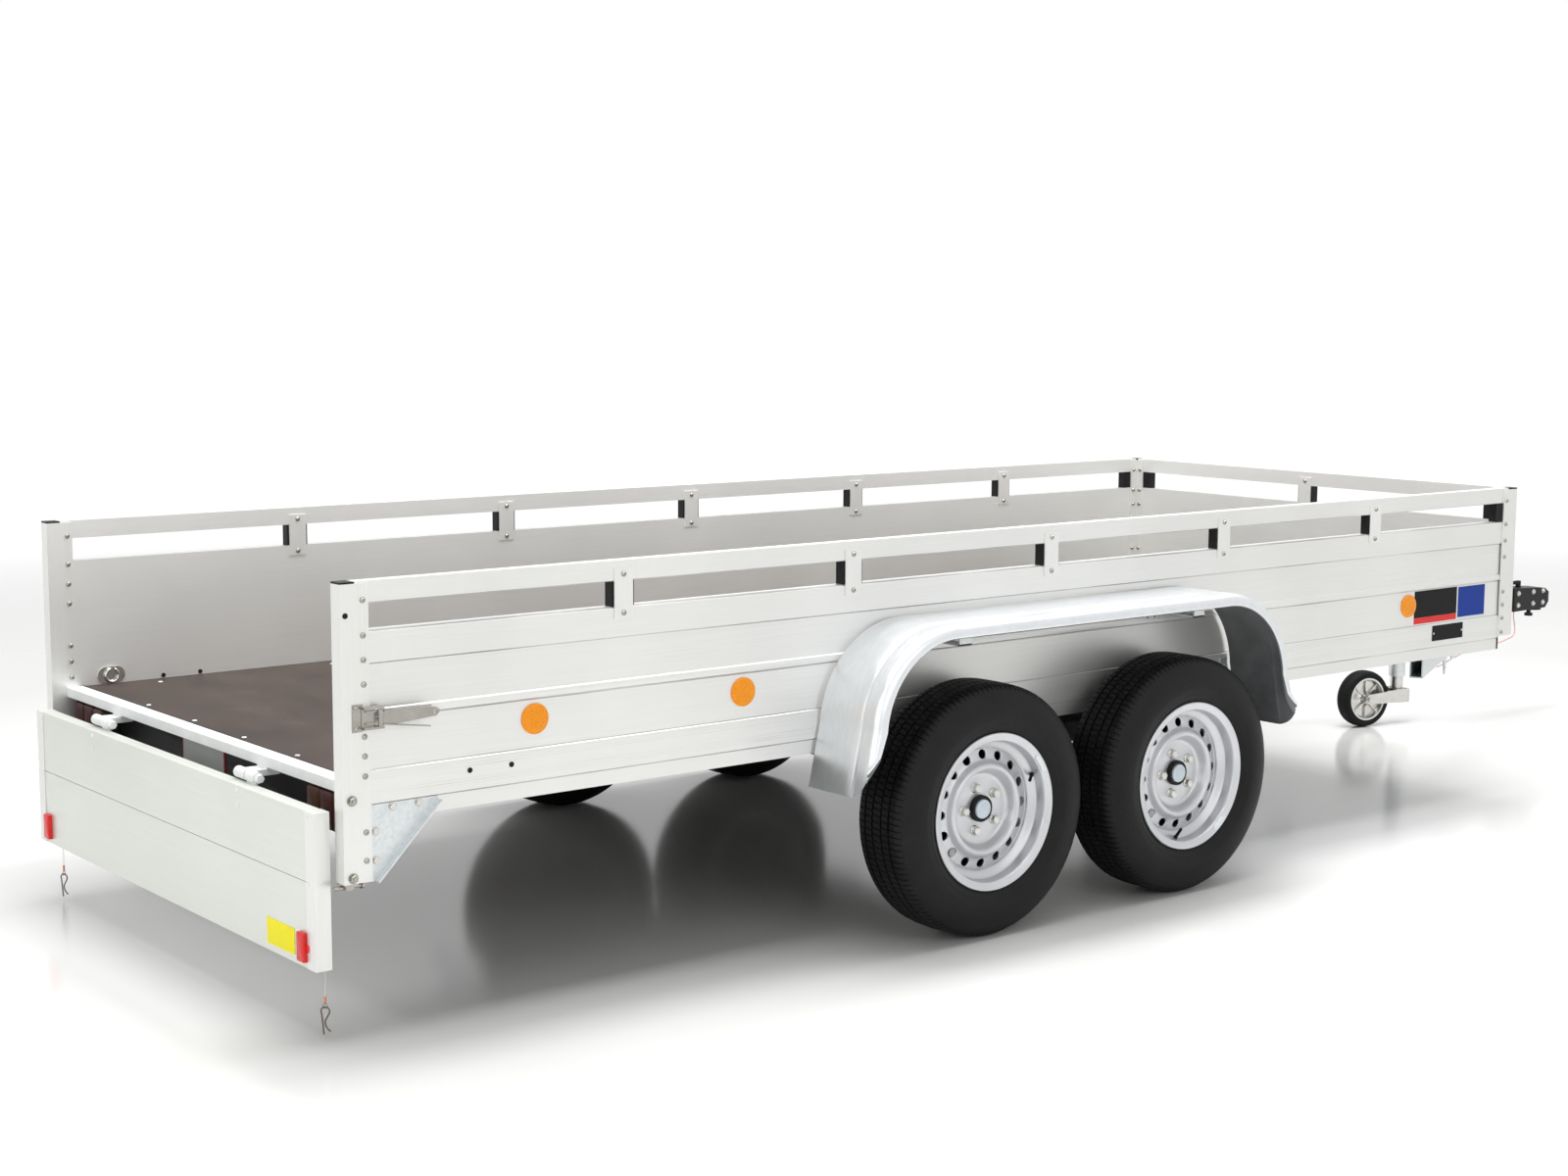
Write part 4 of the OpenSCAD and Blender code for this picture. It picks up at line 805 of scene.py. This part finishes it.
def guardSurface(g):
    # section: flat top, two creases near the edge, a soft corner, the turned-down lip and its rolled bead
    o = g["outer"]
    bend = np.radians(np.linspace(90, 0, 13))
    corner = np.column_stack([o - g["edge"] + g["edge"] * np.cos(bend), g["edge"] * 0.8 * (1 - np.sin(bend))])
    bead = np.radians(np.linspace(0, -220, 9))
    roll = np.column_stack([o - 0.0042 + 0.0042 * np.cos(bead), 0.0285 - 0.0042 * np.sin(bead)])
    flat = [(g["inner"], 0.0006), (0.84, 0.0006), (0.88, 0.0006), (0.92, 0.0006), (0.9475, 0.0006),
            (0.950, 0.0016), (0.9525, 0.0022), (0.955, 0.0016), (0.9575, 0.0002), (0.964, 0.0), (0.974, 0.0),
            (0.983, 0.0)]
    outer = np.vstack([flat, corner, roll])
    along = np.gradient(outer, axis=0)
    along /= np.linalg.norm(along, axis=1)[:, None]
    inner = outer + g["sheet"] * np.column_stack([-along[:, 1], along[:, 0]])
    inner[:12] = outer[:12] + [0, g["sheet"]]
    section = np.vstack([outer, inner[::-1]])
    y, d = section[:, 0], section[:, 1]
    cx, cz = g["half"] - g["lean"] - g["arc"], g["top"] - g["arc"]
    a = np.radians(np.linspace(176, 90, 26))
    r = g["arc"] - d[None, :]
    arcX, arcZ = -cx + r * np.cos(a)[:, None], cz + r * np.sin(a)[:, None]
    # the lower outer corner of each leg is rounded off
    near = np.clip(y - (o - g["corner"]), 0, g["corner"] - 1e-5) + 0 * d
    rise = g["corner"] - np.sqrt(g["corner"]**2 - near**2)
    lowX, lowZ = -(g["half"] - d), g["low"] + rise
    # and the lip shrinks to the plain sheet towards the foot
    k = np.concatenate([[0, 0.02, 0.06, 0.12, 0.2], np.linspace(0.3, 0.92, 8)])[:, None]
    fade = np.clip(k / 0.4, 0, 1) ** 0.7
    sunk = np.maximum(d - g["sheet"], 0) * (1 - fade)
    legX = lowX + (arcX[0] - lowX) * k - sunk
    legZ = lowZ + (arcZ[0] - lowZ) * k
    halfX, halfZ = np.vstack([legX, arcX]), np.vstack([legZ, arcZ])
    midX = np.linspace(-cx, cx, 14)[1:-1][:, None] + 0 * d
    midZ = np.full_like(midX, g["top"]) - d
    x = np.vstack([halfX, midX, -halfX[::-1]])
    z = np.vstack([halfZ, midZ, halfZ[::-1]])
    points = np.stack([x + g["middle"], -y[None, :] + 0 * x, z], 2)
    # both ends close onto the middle of the sheet
    n = len(outer)
    for row in (0, -1):
        mid = 0.5 * (points[row, :n] + points[row, n:][::-1])
        closing = np.concatenate([mid, mid[::-1]])[None]
        points = np.concatenate([closing, points]) if row == 0 else np.concatenate([points, closing])
    verts, faces = grid(points, closeV=True)
    return (verts + [rearX, 0, 0], faces), n, points.shape[1]


def makeGuards(g):
    part, n, width = guardSurface(g)
    for label, shape in (("right", part), ("left", mirrored(part))):
        piece = makePiece("mudguard_" + label, shape, "frame", [sheet, guardUndercoatShade], ["mudguards"],
                          sharp=50)
        # the underside is the side that looks at the wheels' middle; its dark finish is partly undercoat and
        # partly painted shade
        count = len(piece.data.polygons)
        normals, centres = np.empty(count * 3), np.empty(count * 3)
        piece.data.polygons.foreach_get("normal", normals)
        piece.data.polygons.foreach_get("center", centres)
        normals, centres = normals.reshape(-1, 3), centres.reshape(-1, 3)
        if normals[centres[:, 2].argmax(), 2] < 0:
            piece.data.flip_normals()
            normals = -normals
        cx = g["half"] - g["lean"] - g["arc"]
        away = centres - [rearX + g["middle"], 0, g["top"] - g["arc"]]
        away[:, 0] = np.sign(away[:, 0]) * np.maximum(np.abs(away[:, 0]) - cx, 0)
        away[:, 1] = 0
        inward = (normals * away).sum(1) < 0
        inside = inward & (np.abs(centres[:, 1]) < g["outer"] - 0.001)
        piece.data.polygons.foreach_set("material_index", inside.astype(np.int32))
        piece.data.update()
    # stays: a folded strap from the wall to under the guard, with a bolt at each end
    stays = []
    y0, y1 = -(g["outer"] - 0.05), -(outerY - 0.0072)
    for x in (g["middle"] - 0.44, g["middle"] + 0.40):
        for low, high in (((x, y0, -0.060), (x + 0.04, y1, -0.056)),
                          ((x, y0, -0.060), (x + 0.04, y0 + 0.004, -0.003)),
                          ((x - 0.012, y1 - 0.004, -0.086), (x + 0.052, y1, -0.034))):
            stays.append(block(at(*low) + [0, 0, g["top"]], at(*high) + [0, 0, g["top"]]))
        stays += [placed(boltHead(0.0075, 0.005), at(x + dx, y1 - 0.004, g["top"] - 0.074), (0, -1, 0))
                  for dx in (0.006, 0.034)]
    for side in (-1, 1):
        x = g["middle"] + side * (g["half"] - 0.062)
        stays += [block(at(x - 0.012, -(outerY + 0.001), 0.518), at(x + 0.012, -wallOut, 0.568)),
                  placed(boltHead(0.0065, 0.004), at(x, -(outerY + 0.001), 0.543), (0, -1, 0))]
    makePiece("guard_stays", bothSides(stays), "frame", galva, ["mudguards"])


def boltHead(radius, height):
    # hexagon with a chamfered crown on a round washer face
    hexagon = revolve([(0, 0.0008), (radius, 0.0008), (radius, height * 0.8), (radius * 0.86, height),
                       (0, height)], 6)
    washer = revolve([(0, 0), (radius * 1.25, 0), (radius * 1.25, 0.0010), (0, 0.0010)], 18)
    return joined([hexagon, washer])


makeGuards(guard)
print("mudguards ready")


reflector = {"radius": 0.034, "places": (0.470, 1.041, bedLength - 1.200, bedLength - 0.522)}


def makeReflectors(c):
    # round amber reflectors: a moulded rim, a small step, and a flat lens
    low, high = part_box("side_reflectors")
    r = c["radius"]
    shape = revolve([(0, 0.0005), (r, 0.0005), (r, 0.0036), (r - 0.0008, 0.0048), (r - 0.002, 0.0052),
                     (r - 0.0028, 0.0051), (r - 0.0034, 0.0064), (r - 0.0046, 0.0070), (r * 0.5, 0.0070),
                     (0, 0.0070)], 56)
    z = (low.z + high.z) / 2
    parts = [placed(shape, at(x, -(high.y - 0.007), z), (0, -1, 0)) for x in c["places"]]
    makePiece("amber_reflectors", bothSides(parts), "frame", amber, ["side_reflectors"])


def pad(x0, x1, y0, y1, z0, z1, round, crown=0.0006):
    # a moulded pad on a face that looks along X: rounded outline, eased front edge
    a = np.radians(np.arange(0, 360, 15) + 7.5)
    y = np.where(np.cos(a) > 0, y1 - round, y0 + round) + round * np.cos(a)
    z = np.where(np.sin(a) > 0, z1 - round, z0 + round) + round * np.sin(a)
    cy, cz = (y0 + y1) / 2, (z0 + z1) / 2
    rows = [(x0, 0), (x1 + (x0 - x1) * 0.25, 0), (x1 + (x0 - x1) * 0.08, crown), (x1, 3 * crown)]
    points = np.stack([np.column_stack([np.full(len(a), x), y + np.sign(cy - y) * k, z + np.sign(cz - z) * k])
                       for x, k in rows])
    return grid(points + [rearX, 0, 0], closeV=True, caps=True)


def makeGateTrim():
    low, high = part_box("gate_reflectors")
    face = low.x - rearX
    parts = []
    middle = (low.z + high.z) / 2
    for side in (1, -1):
        y0, y1 = sorted((side * (high.y - 0.033), side * high.y))
        tab0, tab1 = sorted((side * (high.y - 0.002), side * (high.y + 0.012)))
        parts += [pad(face + 0.0095, face, y0, y1, low.z, high.z, 0.003, 0.0005),
                  pad(face + 0.0095, face + 0.006, tab0, tab1, middle - 0.008, middle + 0.008, 0.004, 0.0004)]
    makePiece("red_reflectors", parts, "tailgate", red, ["gate_reflectors"])
    plate = pad(face + 0.0096, face + 0.0091, -0.658, -0.529, 0.175, 0.233, 0.002, 0.0001)
    makePiece("yellow_gate_plate", plate, "tailgate", yellowLabel)


def panHead(radius=0.0055, height=0.004):
    # washer face, domed head and a sunk drive socket
    return revolve([(0, 0), (radius * 1.25, 0), (radius * 1.25, 0.0009), (radius, 0.0011),
                    (radius * 0.95, height * 0.55), (radius * 0.7, height * 0.95), (radius * 0.42, height),
                    (radius * 0.36, height * 0.6), (0, height * 0.6)], 12)


def nutHead(radius=0.009, height=0.012):
    # washer, hexagon nut and the rounded end of the bolt
    washer = revolve([(0, 0), (radius * 1.3, 0), (radius * 1.3, 0.0016), (0, 0.0016)], 20)
    nut = revolve([(0, 0.0014), (radius * 0.95, 0.0014), (radius, 0.0024), (radius, height * 0.62),
                   (radius * 0.88, height * 0.74), (0, height * 0.74)], 6)
    end = revolve([(0, height * 0.7), (radius * 0.5, height * 0.7), (radius * 0.5, height * 0.93),
                   (radius * 0.35, height), (0, height)], 12)
    return joined([washer, nut, end])


def makeScrews():
    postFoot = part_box("rear_posts")[0].z
    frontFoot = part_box("front_posts")[0].z
    postIn = outerY - postDepth
    frontOut = bedLength - 0.004
    frontIn = frontOut - plankThick
    heights = [topZ - 0.039, wallTop - 0.009, wallTop - 0.060, wallTop - 0.111, wallTop - 0.220,
               wallTop - 0.261, wallTop - 0.303]
    strapX = [0.033 + 0.669 * k for k in range(1, 6)]
    pan, nut = panHead(), nutHead()
    right, left, forward, back = (0, -1, 0), (0, 1, 0), (1, 0, 0), (-1, 0, 0)
    footScrews = [postFoot + 0.105, postFoot + 0.045]
    side = [placed(pan, at(0.0525, -outerY, z), right) for z in heights + footScrews]
    side += [placed(nut, at(0.0205, -outerY, z), right, (1, 0, 0.4)) for z in (deckZ - 0.022, postFoot + 0.012)]
    side += [placed(pan, at(bedLength - 0.0525, -outerY, z), right) for z in heights + [frontFoot + 0.012]]
    side += [placed(pan, at(x, -postIn, z), left) for x in (0.0525, bedLength - 0.0525) for z in heights]
    side += [placed(pan, at(frontIn - 0.004, -postIn + 0.015, z), back) for z in heights]
    side += [placed(pan, at(bedLength, -postIn + 0.015, z), forward) for z in heights]
    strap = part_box("rail_straps")[1]
    proud = strap.y - wallOut                     # how far a strap stands off the planks
    middle = []
    for z in (wallTop - 0.015, railZ + 0.015):
        for x in strapX:
            side += [placed(pan, at(x, -strap.y, z), right), placed(pan, at(x, proud - wallIn, z), left)]
        middle += [placed(pan, at(strap.x - rearX, 0, z), forward),
                   placed(pan, at(frontIn - proud, 0, z), back)]
    flat = revolve([(0, -0.0005), (0.006, -0.0005), (0.006, 0.0007), (0.0052, 0.0014), (0.0022, 0.0014),
                    (0.0018, 0.0006), (0, 0.0006)], 12)
    deck = [placed(flat, at(x, -(wallIn - 0.058), deckZ)) for x in np.arange(0.270, bedLength - 0.200, 0.5)]
    deck += [placed(flat, at(0.102, -y, deckZ)) for y in (0.398, 0.398 / 3)]
    parts = bothSides(side) + middle
    makePiece("frame_fasteners", parts, "frame", nickel, ["frame_screws"], sharp=30)
    makePiece("deck_screws", bothSides(deck), "frame", whitePaint, ["frame_screws"])


def sidePlate(name, x0, x1, z0, z1, y, material, thick=0.0006):
    # thin plate with eased edges, on a face that looks to the right
    part = block(at(x0, -y - thick, z0), at(x1, -y + 0.0002, z1))
    makePiece(name, part, "frame", material, bevel=0.0002)


def makePlates():
    band = wallOut - 0.0035
    sidePlate("dark_plate", 3.588, 3.799, sillTop + 0.024, sillTop + 0.105, band, darkLabel)
    # this red strip uses the reflector finish and so has its faint painted glow
    sidePlate("dark_plate_foot", 3.588, 3.799, sillTop + 0.005, sillTop + 0.0238, band, red)
    sidePlate("blue_plate", 3.806, 3.942, sillTop + 0.010, sillTop + 0.103, band, blueLabel)
    sidePlate("blue_plate_strip", 3.806, 3.942, sillTop + 0.005, sillTop + 0.0098, band, capWhite)
    sidePlate("rating_plate", 3.677, 3.830, sillTop - 0.053, sillTop - 0.006, wallOut, darkLabel, 0.001)
    small = panHead(0.0028, 0.0018)
    rivets = [placed(small, at(x, -wallOut - 0.001, sillTop - 0.0295), (0, -1, 0)) for x in (3.683, 3.824)]
    makePiece("rating_plate_rivets", rivets, "frame", zinc)


def makeDeckEdge():
    # black edging strip between the crossbar and the board
    half = outerY - postDepth
    strip = block(at(0.0802, -half, deckZ + 0.0001), at(0.0862, half, deckZ + 0.0016))
    makePiece("deck_edge_strip", strip, "frame", blackPlastic, bevel=0.0004)


makeReflectors(reflector)
makeGateTrim()
makeScrews()
makePlates()
makeDeckEdge()
print("reflectors, plates and screws ready")


bellows = {"from": 5.130, "to": 5.2295, "folds": 8, "low": 0.030, "high": 0.041}


def makeBellows(c):
    # radius swings between the fold's valley and crest along the shaft, with a flat collar at each end
    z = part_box("coupling_head")[1].z - 0.046
    t = np.linspace(0, 1, c["folds"] * 10 + 1)
    wave = 0.5 - 0.5 * np.cos(t * c["folds"] * 2 * math.pi)
    r = c["low"] + (c["high"] - c["low"]) * wave ** 0.8
    length = c["to"] - c["from"]
    profile = np.column_stack([r, t * length])
    inner = [(0.0275, length), (0.0275, 0)]
    part = revolve(np.vstack([profile, inner]), 48, closed=True)
    start = at(c["from"], 0, z)
    piece = makePiece("drawbar_bellows", placed(part, start, (1, 0, 0), (0, 1, 0)), "frame", plainRubber)
    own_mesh(piece)


jockey = {"tyre": 0.103, "rim": 0.0779, "hub": 0.018, "ribs": 8, "axis": (0.2079, 0.9781, 0)}


def makeJockeyWheel(c):
    low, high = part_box("jockey_tyre")
    centre = np.array((low + high) / 2)
    R, r = c["tyre"], c["rim"]
    crown = [(r + 0.0002, -0.0288), (r + 0.004, -0.0294), (R - 0.012, -0.0298), (R - 0.0065, -0.0275),
             (R - 0.0028, -0.0225), (R - 0.0008, -0.0150), (R, -0.0090), (R, -0.0062), (R - 0.0018, -0.0056),
             (R - 0.0018, -0.0040), (R, -0.0034)]
    section = crown + [(R, 0)] + [(a, -b) for a, b in reversed(crown)]
    tyre = revolve(section + [(r + 0.0002, 0)], 96, closed=True)
    makePiece("jockey_wheel_tyre", placed(tyre, centre, c["axis"], (0, 0, 1)), "jockey_wheel", plainRubber,
              ["jockey_tyre"], sharp=35)
    # pressed wheel: rolled edge, deep dish, boss, and ribs that run from the boss to the edge
    half = [(r, 0.0272), (r - 0.0008, 0.0283), (r - 0.003, 0.0287), (r - 0.0052, 0.0280),
            (r - 0.0062, 0.0262), (r - 0.0068, 0.0205), (r - 0.0085, 0.0120), (r - 0.0125, 0.0085),
            (0.040, 0.0065), (0.028, 0.0078), (0.0215, 0.0120), (0.0185, 0.0240), (0.0175, 0.0292),
            (0.0150, 0.0300), (0.0085, 0.0300), (0.0080, 0.0290)]
    wheel = revolve(half + [(a, -b) for a, b in reversed(half)], 64, closed=True)
    ribs = []
    along = np.array([0.019, 0.030, 0.055, r - 0.008])
    edge, foot = np.array([0.026, 0.0165, 0.0145, 0.0175]), np.array([0.006, 0.004, 0.004, 0.006])
    for k in range(c["ribs"]):
        for side in (1, -1):
            edges = ((-0.0016, edge), (0.0016, edge), (0.0028, foot), (-0.0028, foot))
            loop = np.stack([np.column_stack([along, np.full(4, y), side * height]) for y, height in edges], 1)
            ribs.append(grid(turnedBy(loop, 2 * math.pi * k / c["ribs"]), closeV=True, caps=True))
    makePiece("jockey_wheel_rim", [placed(p, centre, c["axis"], (0, 0, 1)) for p in [wheel] + ribs],
              "jockey_wheel", zinc, ["jockey_rim"], sharp=35)
    ring = revolve([(r - 0.0064, 0.0272), (r - 0.0048, 0.0288), (r - 0.0012, 0.0290), (r + 0.0001, 0.0278),
                    (r - 0.003, 0.0282)], 64, closed=True)
    rings = [placed(ring, centre, c["axis"], (0, 0, 1)),
             placed(ring, centre, tuple(-np.array(c["axis"])), (0, 0, 1))]
    makePiece("jockey_wheel_edges", rings, "jockey_wheel", whitePaint, ["jockey_rim"])


def makeBolts():
    # bright heads on the corner gussets and on the coupling
    top, foot = sillTop - 0.107 + 0.034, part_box("rear_posts")[0].z
    places = [(0.117, top - 0.009), (0.179, top - 0.009), (0.075, foot + 0.103), (0.075, foot + 0.042)]
    heads = [placed(boltHead(0.0082, 0.0068), at(x, -wallOut, z), (0, -1, 0), (1, 0, 0.3)) for x, z in places]
    makePiece("gusset_bolts", bothSides(heads), "frame", zinc)
    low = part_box("coupling_head")
    head, z = 5.230, low[1].z - 0.046
    heads = [placed(boltHead(0.0078, 0.0058), at(head + x, -0.038, z + dz), (0, -1, 0), (1, 0, 0.2))
             for x in (0.026, 0.120, 0.182) for dz in (-0.019, 0.025)]
    makePiece("coupling_bolts", bothSides(heads), "coupling", zinc)


def makeLamps():
    # lamp board under the crossbar: a folded black board with a three-part lamp at each end
    low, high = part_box("rear_lamps")
    x0, x1 = low.x - rearX, high.x - rearX
    board = pad(x1 - 0.001, x1 - 0.004, -0.735, 0.735, low.z + 0.006, high.z - 0.001, 0.006, 0.0003)
    shelf = block(at(x1 - 0.012, -0.735, high.z - 0.004), at(x1 - 0.001, 0.735, high.z - 0.001))
    bodies, lenses, clear = [], [], []
    for side in (1, -1):
        y0, y1 = sorted((side * 0.545, side * 0.735))
        bodies.append(pad(x1 - 0.004, x0 + 0.009, y0, y1, low.z, high.z, 0.010, 0.001))
        edges = np.linspace(y0 + 0.006, y1 - 0.006, 4)
        for k in range(3):
            inner = k == (0 if side > 0 else 2)
            lens3 = pad(x0 + 0.0092, x0 + 0.0002, edges[k] + 0.0008, edges[k + 1] - 0.0008, low.z + 0.008,
                        high.z - 0.008, 0.006, 0.0012)
            (clear if inner else lenses).append(lens3)
    makePiece("lamp_board", [board, shelf] + bodies, "frame", blackPlastic, ["rear_lamps"])
    makePiece("lamp_lenses", lenses, "frame", lampRed, ["rear_lamps"])
    makePiece("lamp_clear_lenses", clear, "frame", lampSmoke, ["rear_lamps"])
    # plain number plate blank between the hinges
    edge = pad(x1 - 0.004, x1 - 0.0056, -0.060, 0.168, low.z + 0.014, high.z - 0.010, 0.004, 0.0001)
    makePiece("number_plate_edge", edge, "frame", redEdge, ["rear_lamps"])
    plate = pad(x1 - 0.0056, x1 - 0.0062, -0.055, 0.163, low.z + 0.019, high.z - 0.015, 0.003, 0.0001)
    makePiece("number_plate", plate, "frame", capGrey, ["rear_lamps"])


def makeBeams(keep=0.42):
    # chassis beams with their lower flanges drawn up under the sill, and brackets down to the axle tubes, all in
    # the near-black zinc of painted shade
    source = nodes["chassis_beams"].data
    points = np.empty(len(source.vertices) * 3)
    source.vertices.foreach_get("co", points)
    corners = np.empty(len(source.loops), np.int32)
    source.loops.foreach_get("vertex_index", corners)
    points, index = np.unique(np.round(points.reshape(-1, 3), 6), axis=0, return_inverse=True)
    low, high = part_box("chassis_beams")
    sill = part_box("bottom_rails")[0].z
    drop = sill - points[:, 2]
    points[:, 2] = np.where(drop > 0, sill - keep * drop, points[:, 2])
    brackets = []
    for corner in ("rear_right", "front_right"):
        x = sum(v.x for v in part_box("tyre_" + corner)) / 2
        for y in (-0.566, 0.554):
            brackets.append(block((x - 0.15, y, low.z), (x + 0.13, y + 0.012, sill - 0.002)))
    beams = (points, index.reshape(-1)[corners].reshape(-1, 3))
    makePiece("chassis_frame", [beams] + brackets, "frame", shadedZinc, ["chassis_beams"],
              sharp=30)


makeBeams()
makeBolts()
makeLamps()
makeBellows(bellows)
makeJockeyWheel(jockey)
print("drawbar pieces ready")


def stageFloor():
    corners = np.array([[at(x, y, -0.0005) for y in (-40, 60)] for x in (-40, 60)])
    makePiece("studio_floor", grid(corners), None, floorFinish)


def softBox(name, place, target, size, power):
    light = bpy.data.lights.new(name, "AREA")
    light.shape = "RECTANGLE"
    light.size, light.size_y = size
    light.energy = power
    lamp = bpy.data.objects.new(name, light)
    bpy.context.scene.collection.objects.link(lamp)
    away = np.array(place, float) - np.array(target, float)
    away /= np.linalg.norm(away)
    side = np.cross([0, 0, 1.0] if abs(away[2]) < 0.99 else [0, 1.0, 0], away)
    side /= np.linalg.norm(side)
    up = np.cross(away, side)
    lamp.matrix_world = Matrix.Translation(place) @ Matrix(np.stack([side, up, away], 1).tolist()).to_4x4()


def studioFloor():
    # white and faintly glossy round the trailer, and an even white glow further out
    material, tree, shader = finish("studio floor", (0.85, 0.85, 0.84), 0.0, 0.14, Specular_IOR_Level=0.6)
    bump(tree, shader, noise(tree, where(tree), 1.6, 3), 0.05, 0.01)
    squares = []
    for axis in ("X", "Y"):
        away = axisOf(tree, where(tree), axis)
        squares.append(maths(tree, "MULTIPLY", away, away))
    far = maths(tree, "SQRT", maths(tree, "ADD", *squares))
    glow = spread(tree, far, 0.0, 1.0, 4.2, 9.0)
    colour(tree, shader, glow, [(0.0, (0.85, 0.85, 0.84)), (1.0, (0, 0, 0))])
    shine = tint(tree, glow, [(0.0, (0, 0, 0)), (1.0, (0.97, 0.97, 0.97))])
    tree.links.new(shine, shader.inputs["Emission Color"])
    sheen(tree, shader, glow, 0.14, 0.9)
    shader.inputs["Emission Strength"].default_value = 1.0
    return material


def studioWorld(seen, fill):
    # the backdrop is seen and mirrored white, while the fill light that it gives is lower
    world = bpy.data.worlds.new("studio")
    bpy.context.scene.world = world
    world.use_nodes = True
    tree = world.node_tree
    tree.nodes["Background"].inputs["Color"].default_value = (1, 1, 1, 1)
    ray = tree.nodes.new("ShaderNodeLightPath").outputs["Is Diffuse Ray"]
    tree.links.new(spread(tree, ray, seen, fill), tree.nodes["Background"].inputs["Strength"])


floorFinish = studioFloor()
stageFloor()
studioWorld(seen=1.0, fill=0.36)
middle = at(2.4, 0, 0.4)
softBox("overhead", middle + [0, 0, 4.6], middle, (8, 3.6), 380)
softBox("near_side", middle + [-1.5, -6.5, 2.6], middle, (7, 3.0), 62)
softBox("far_wall", middle + [0, -0.35, 3.0], middle + [0, 0.8, 0.4], (4.5, 0.6), 85)
softBox("tail_side", middle + [-8.0, -1.5, 2.2], middle, (4, 3), 80)
bpy.context.scene.view_settings.view_transform = "Standard"
print("stage ready")
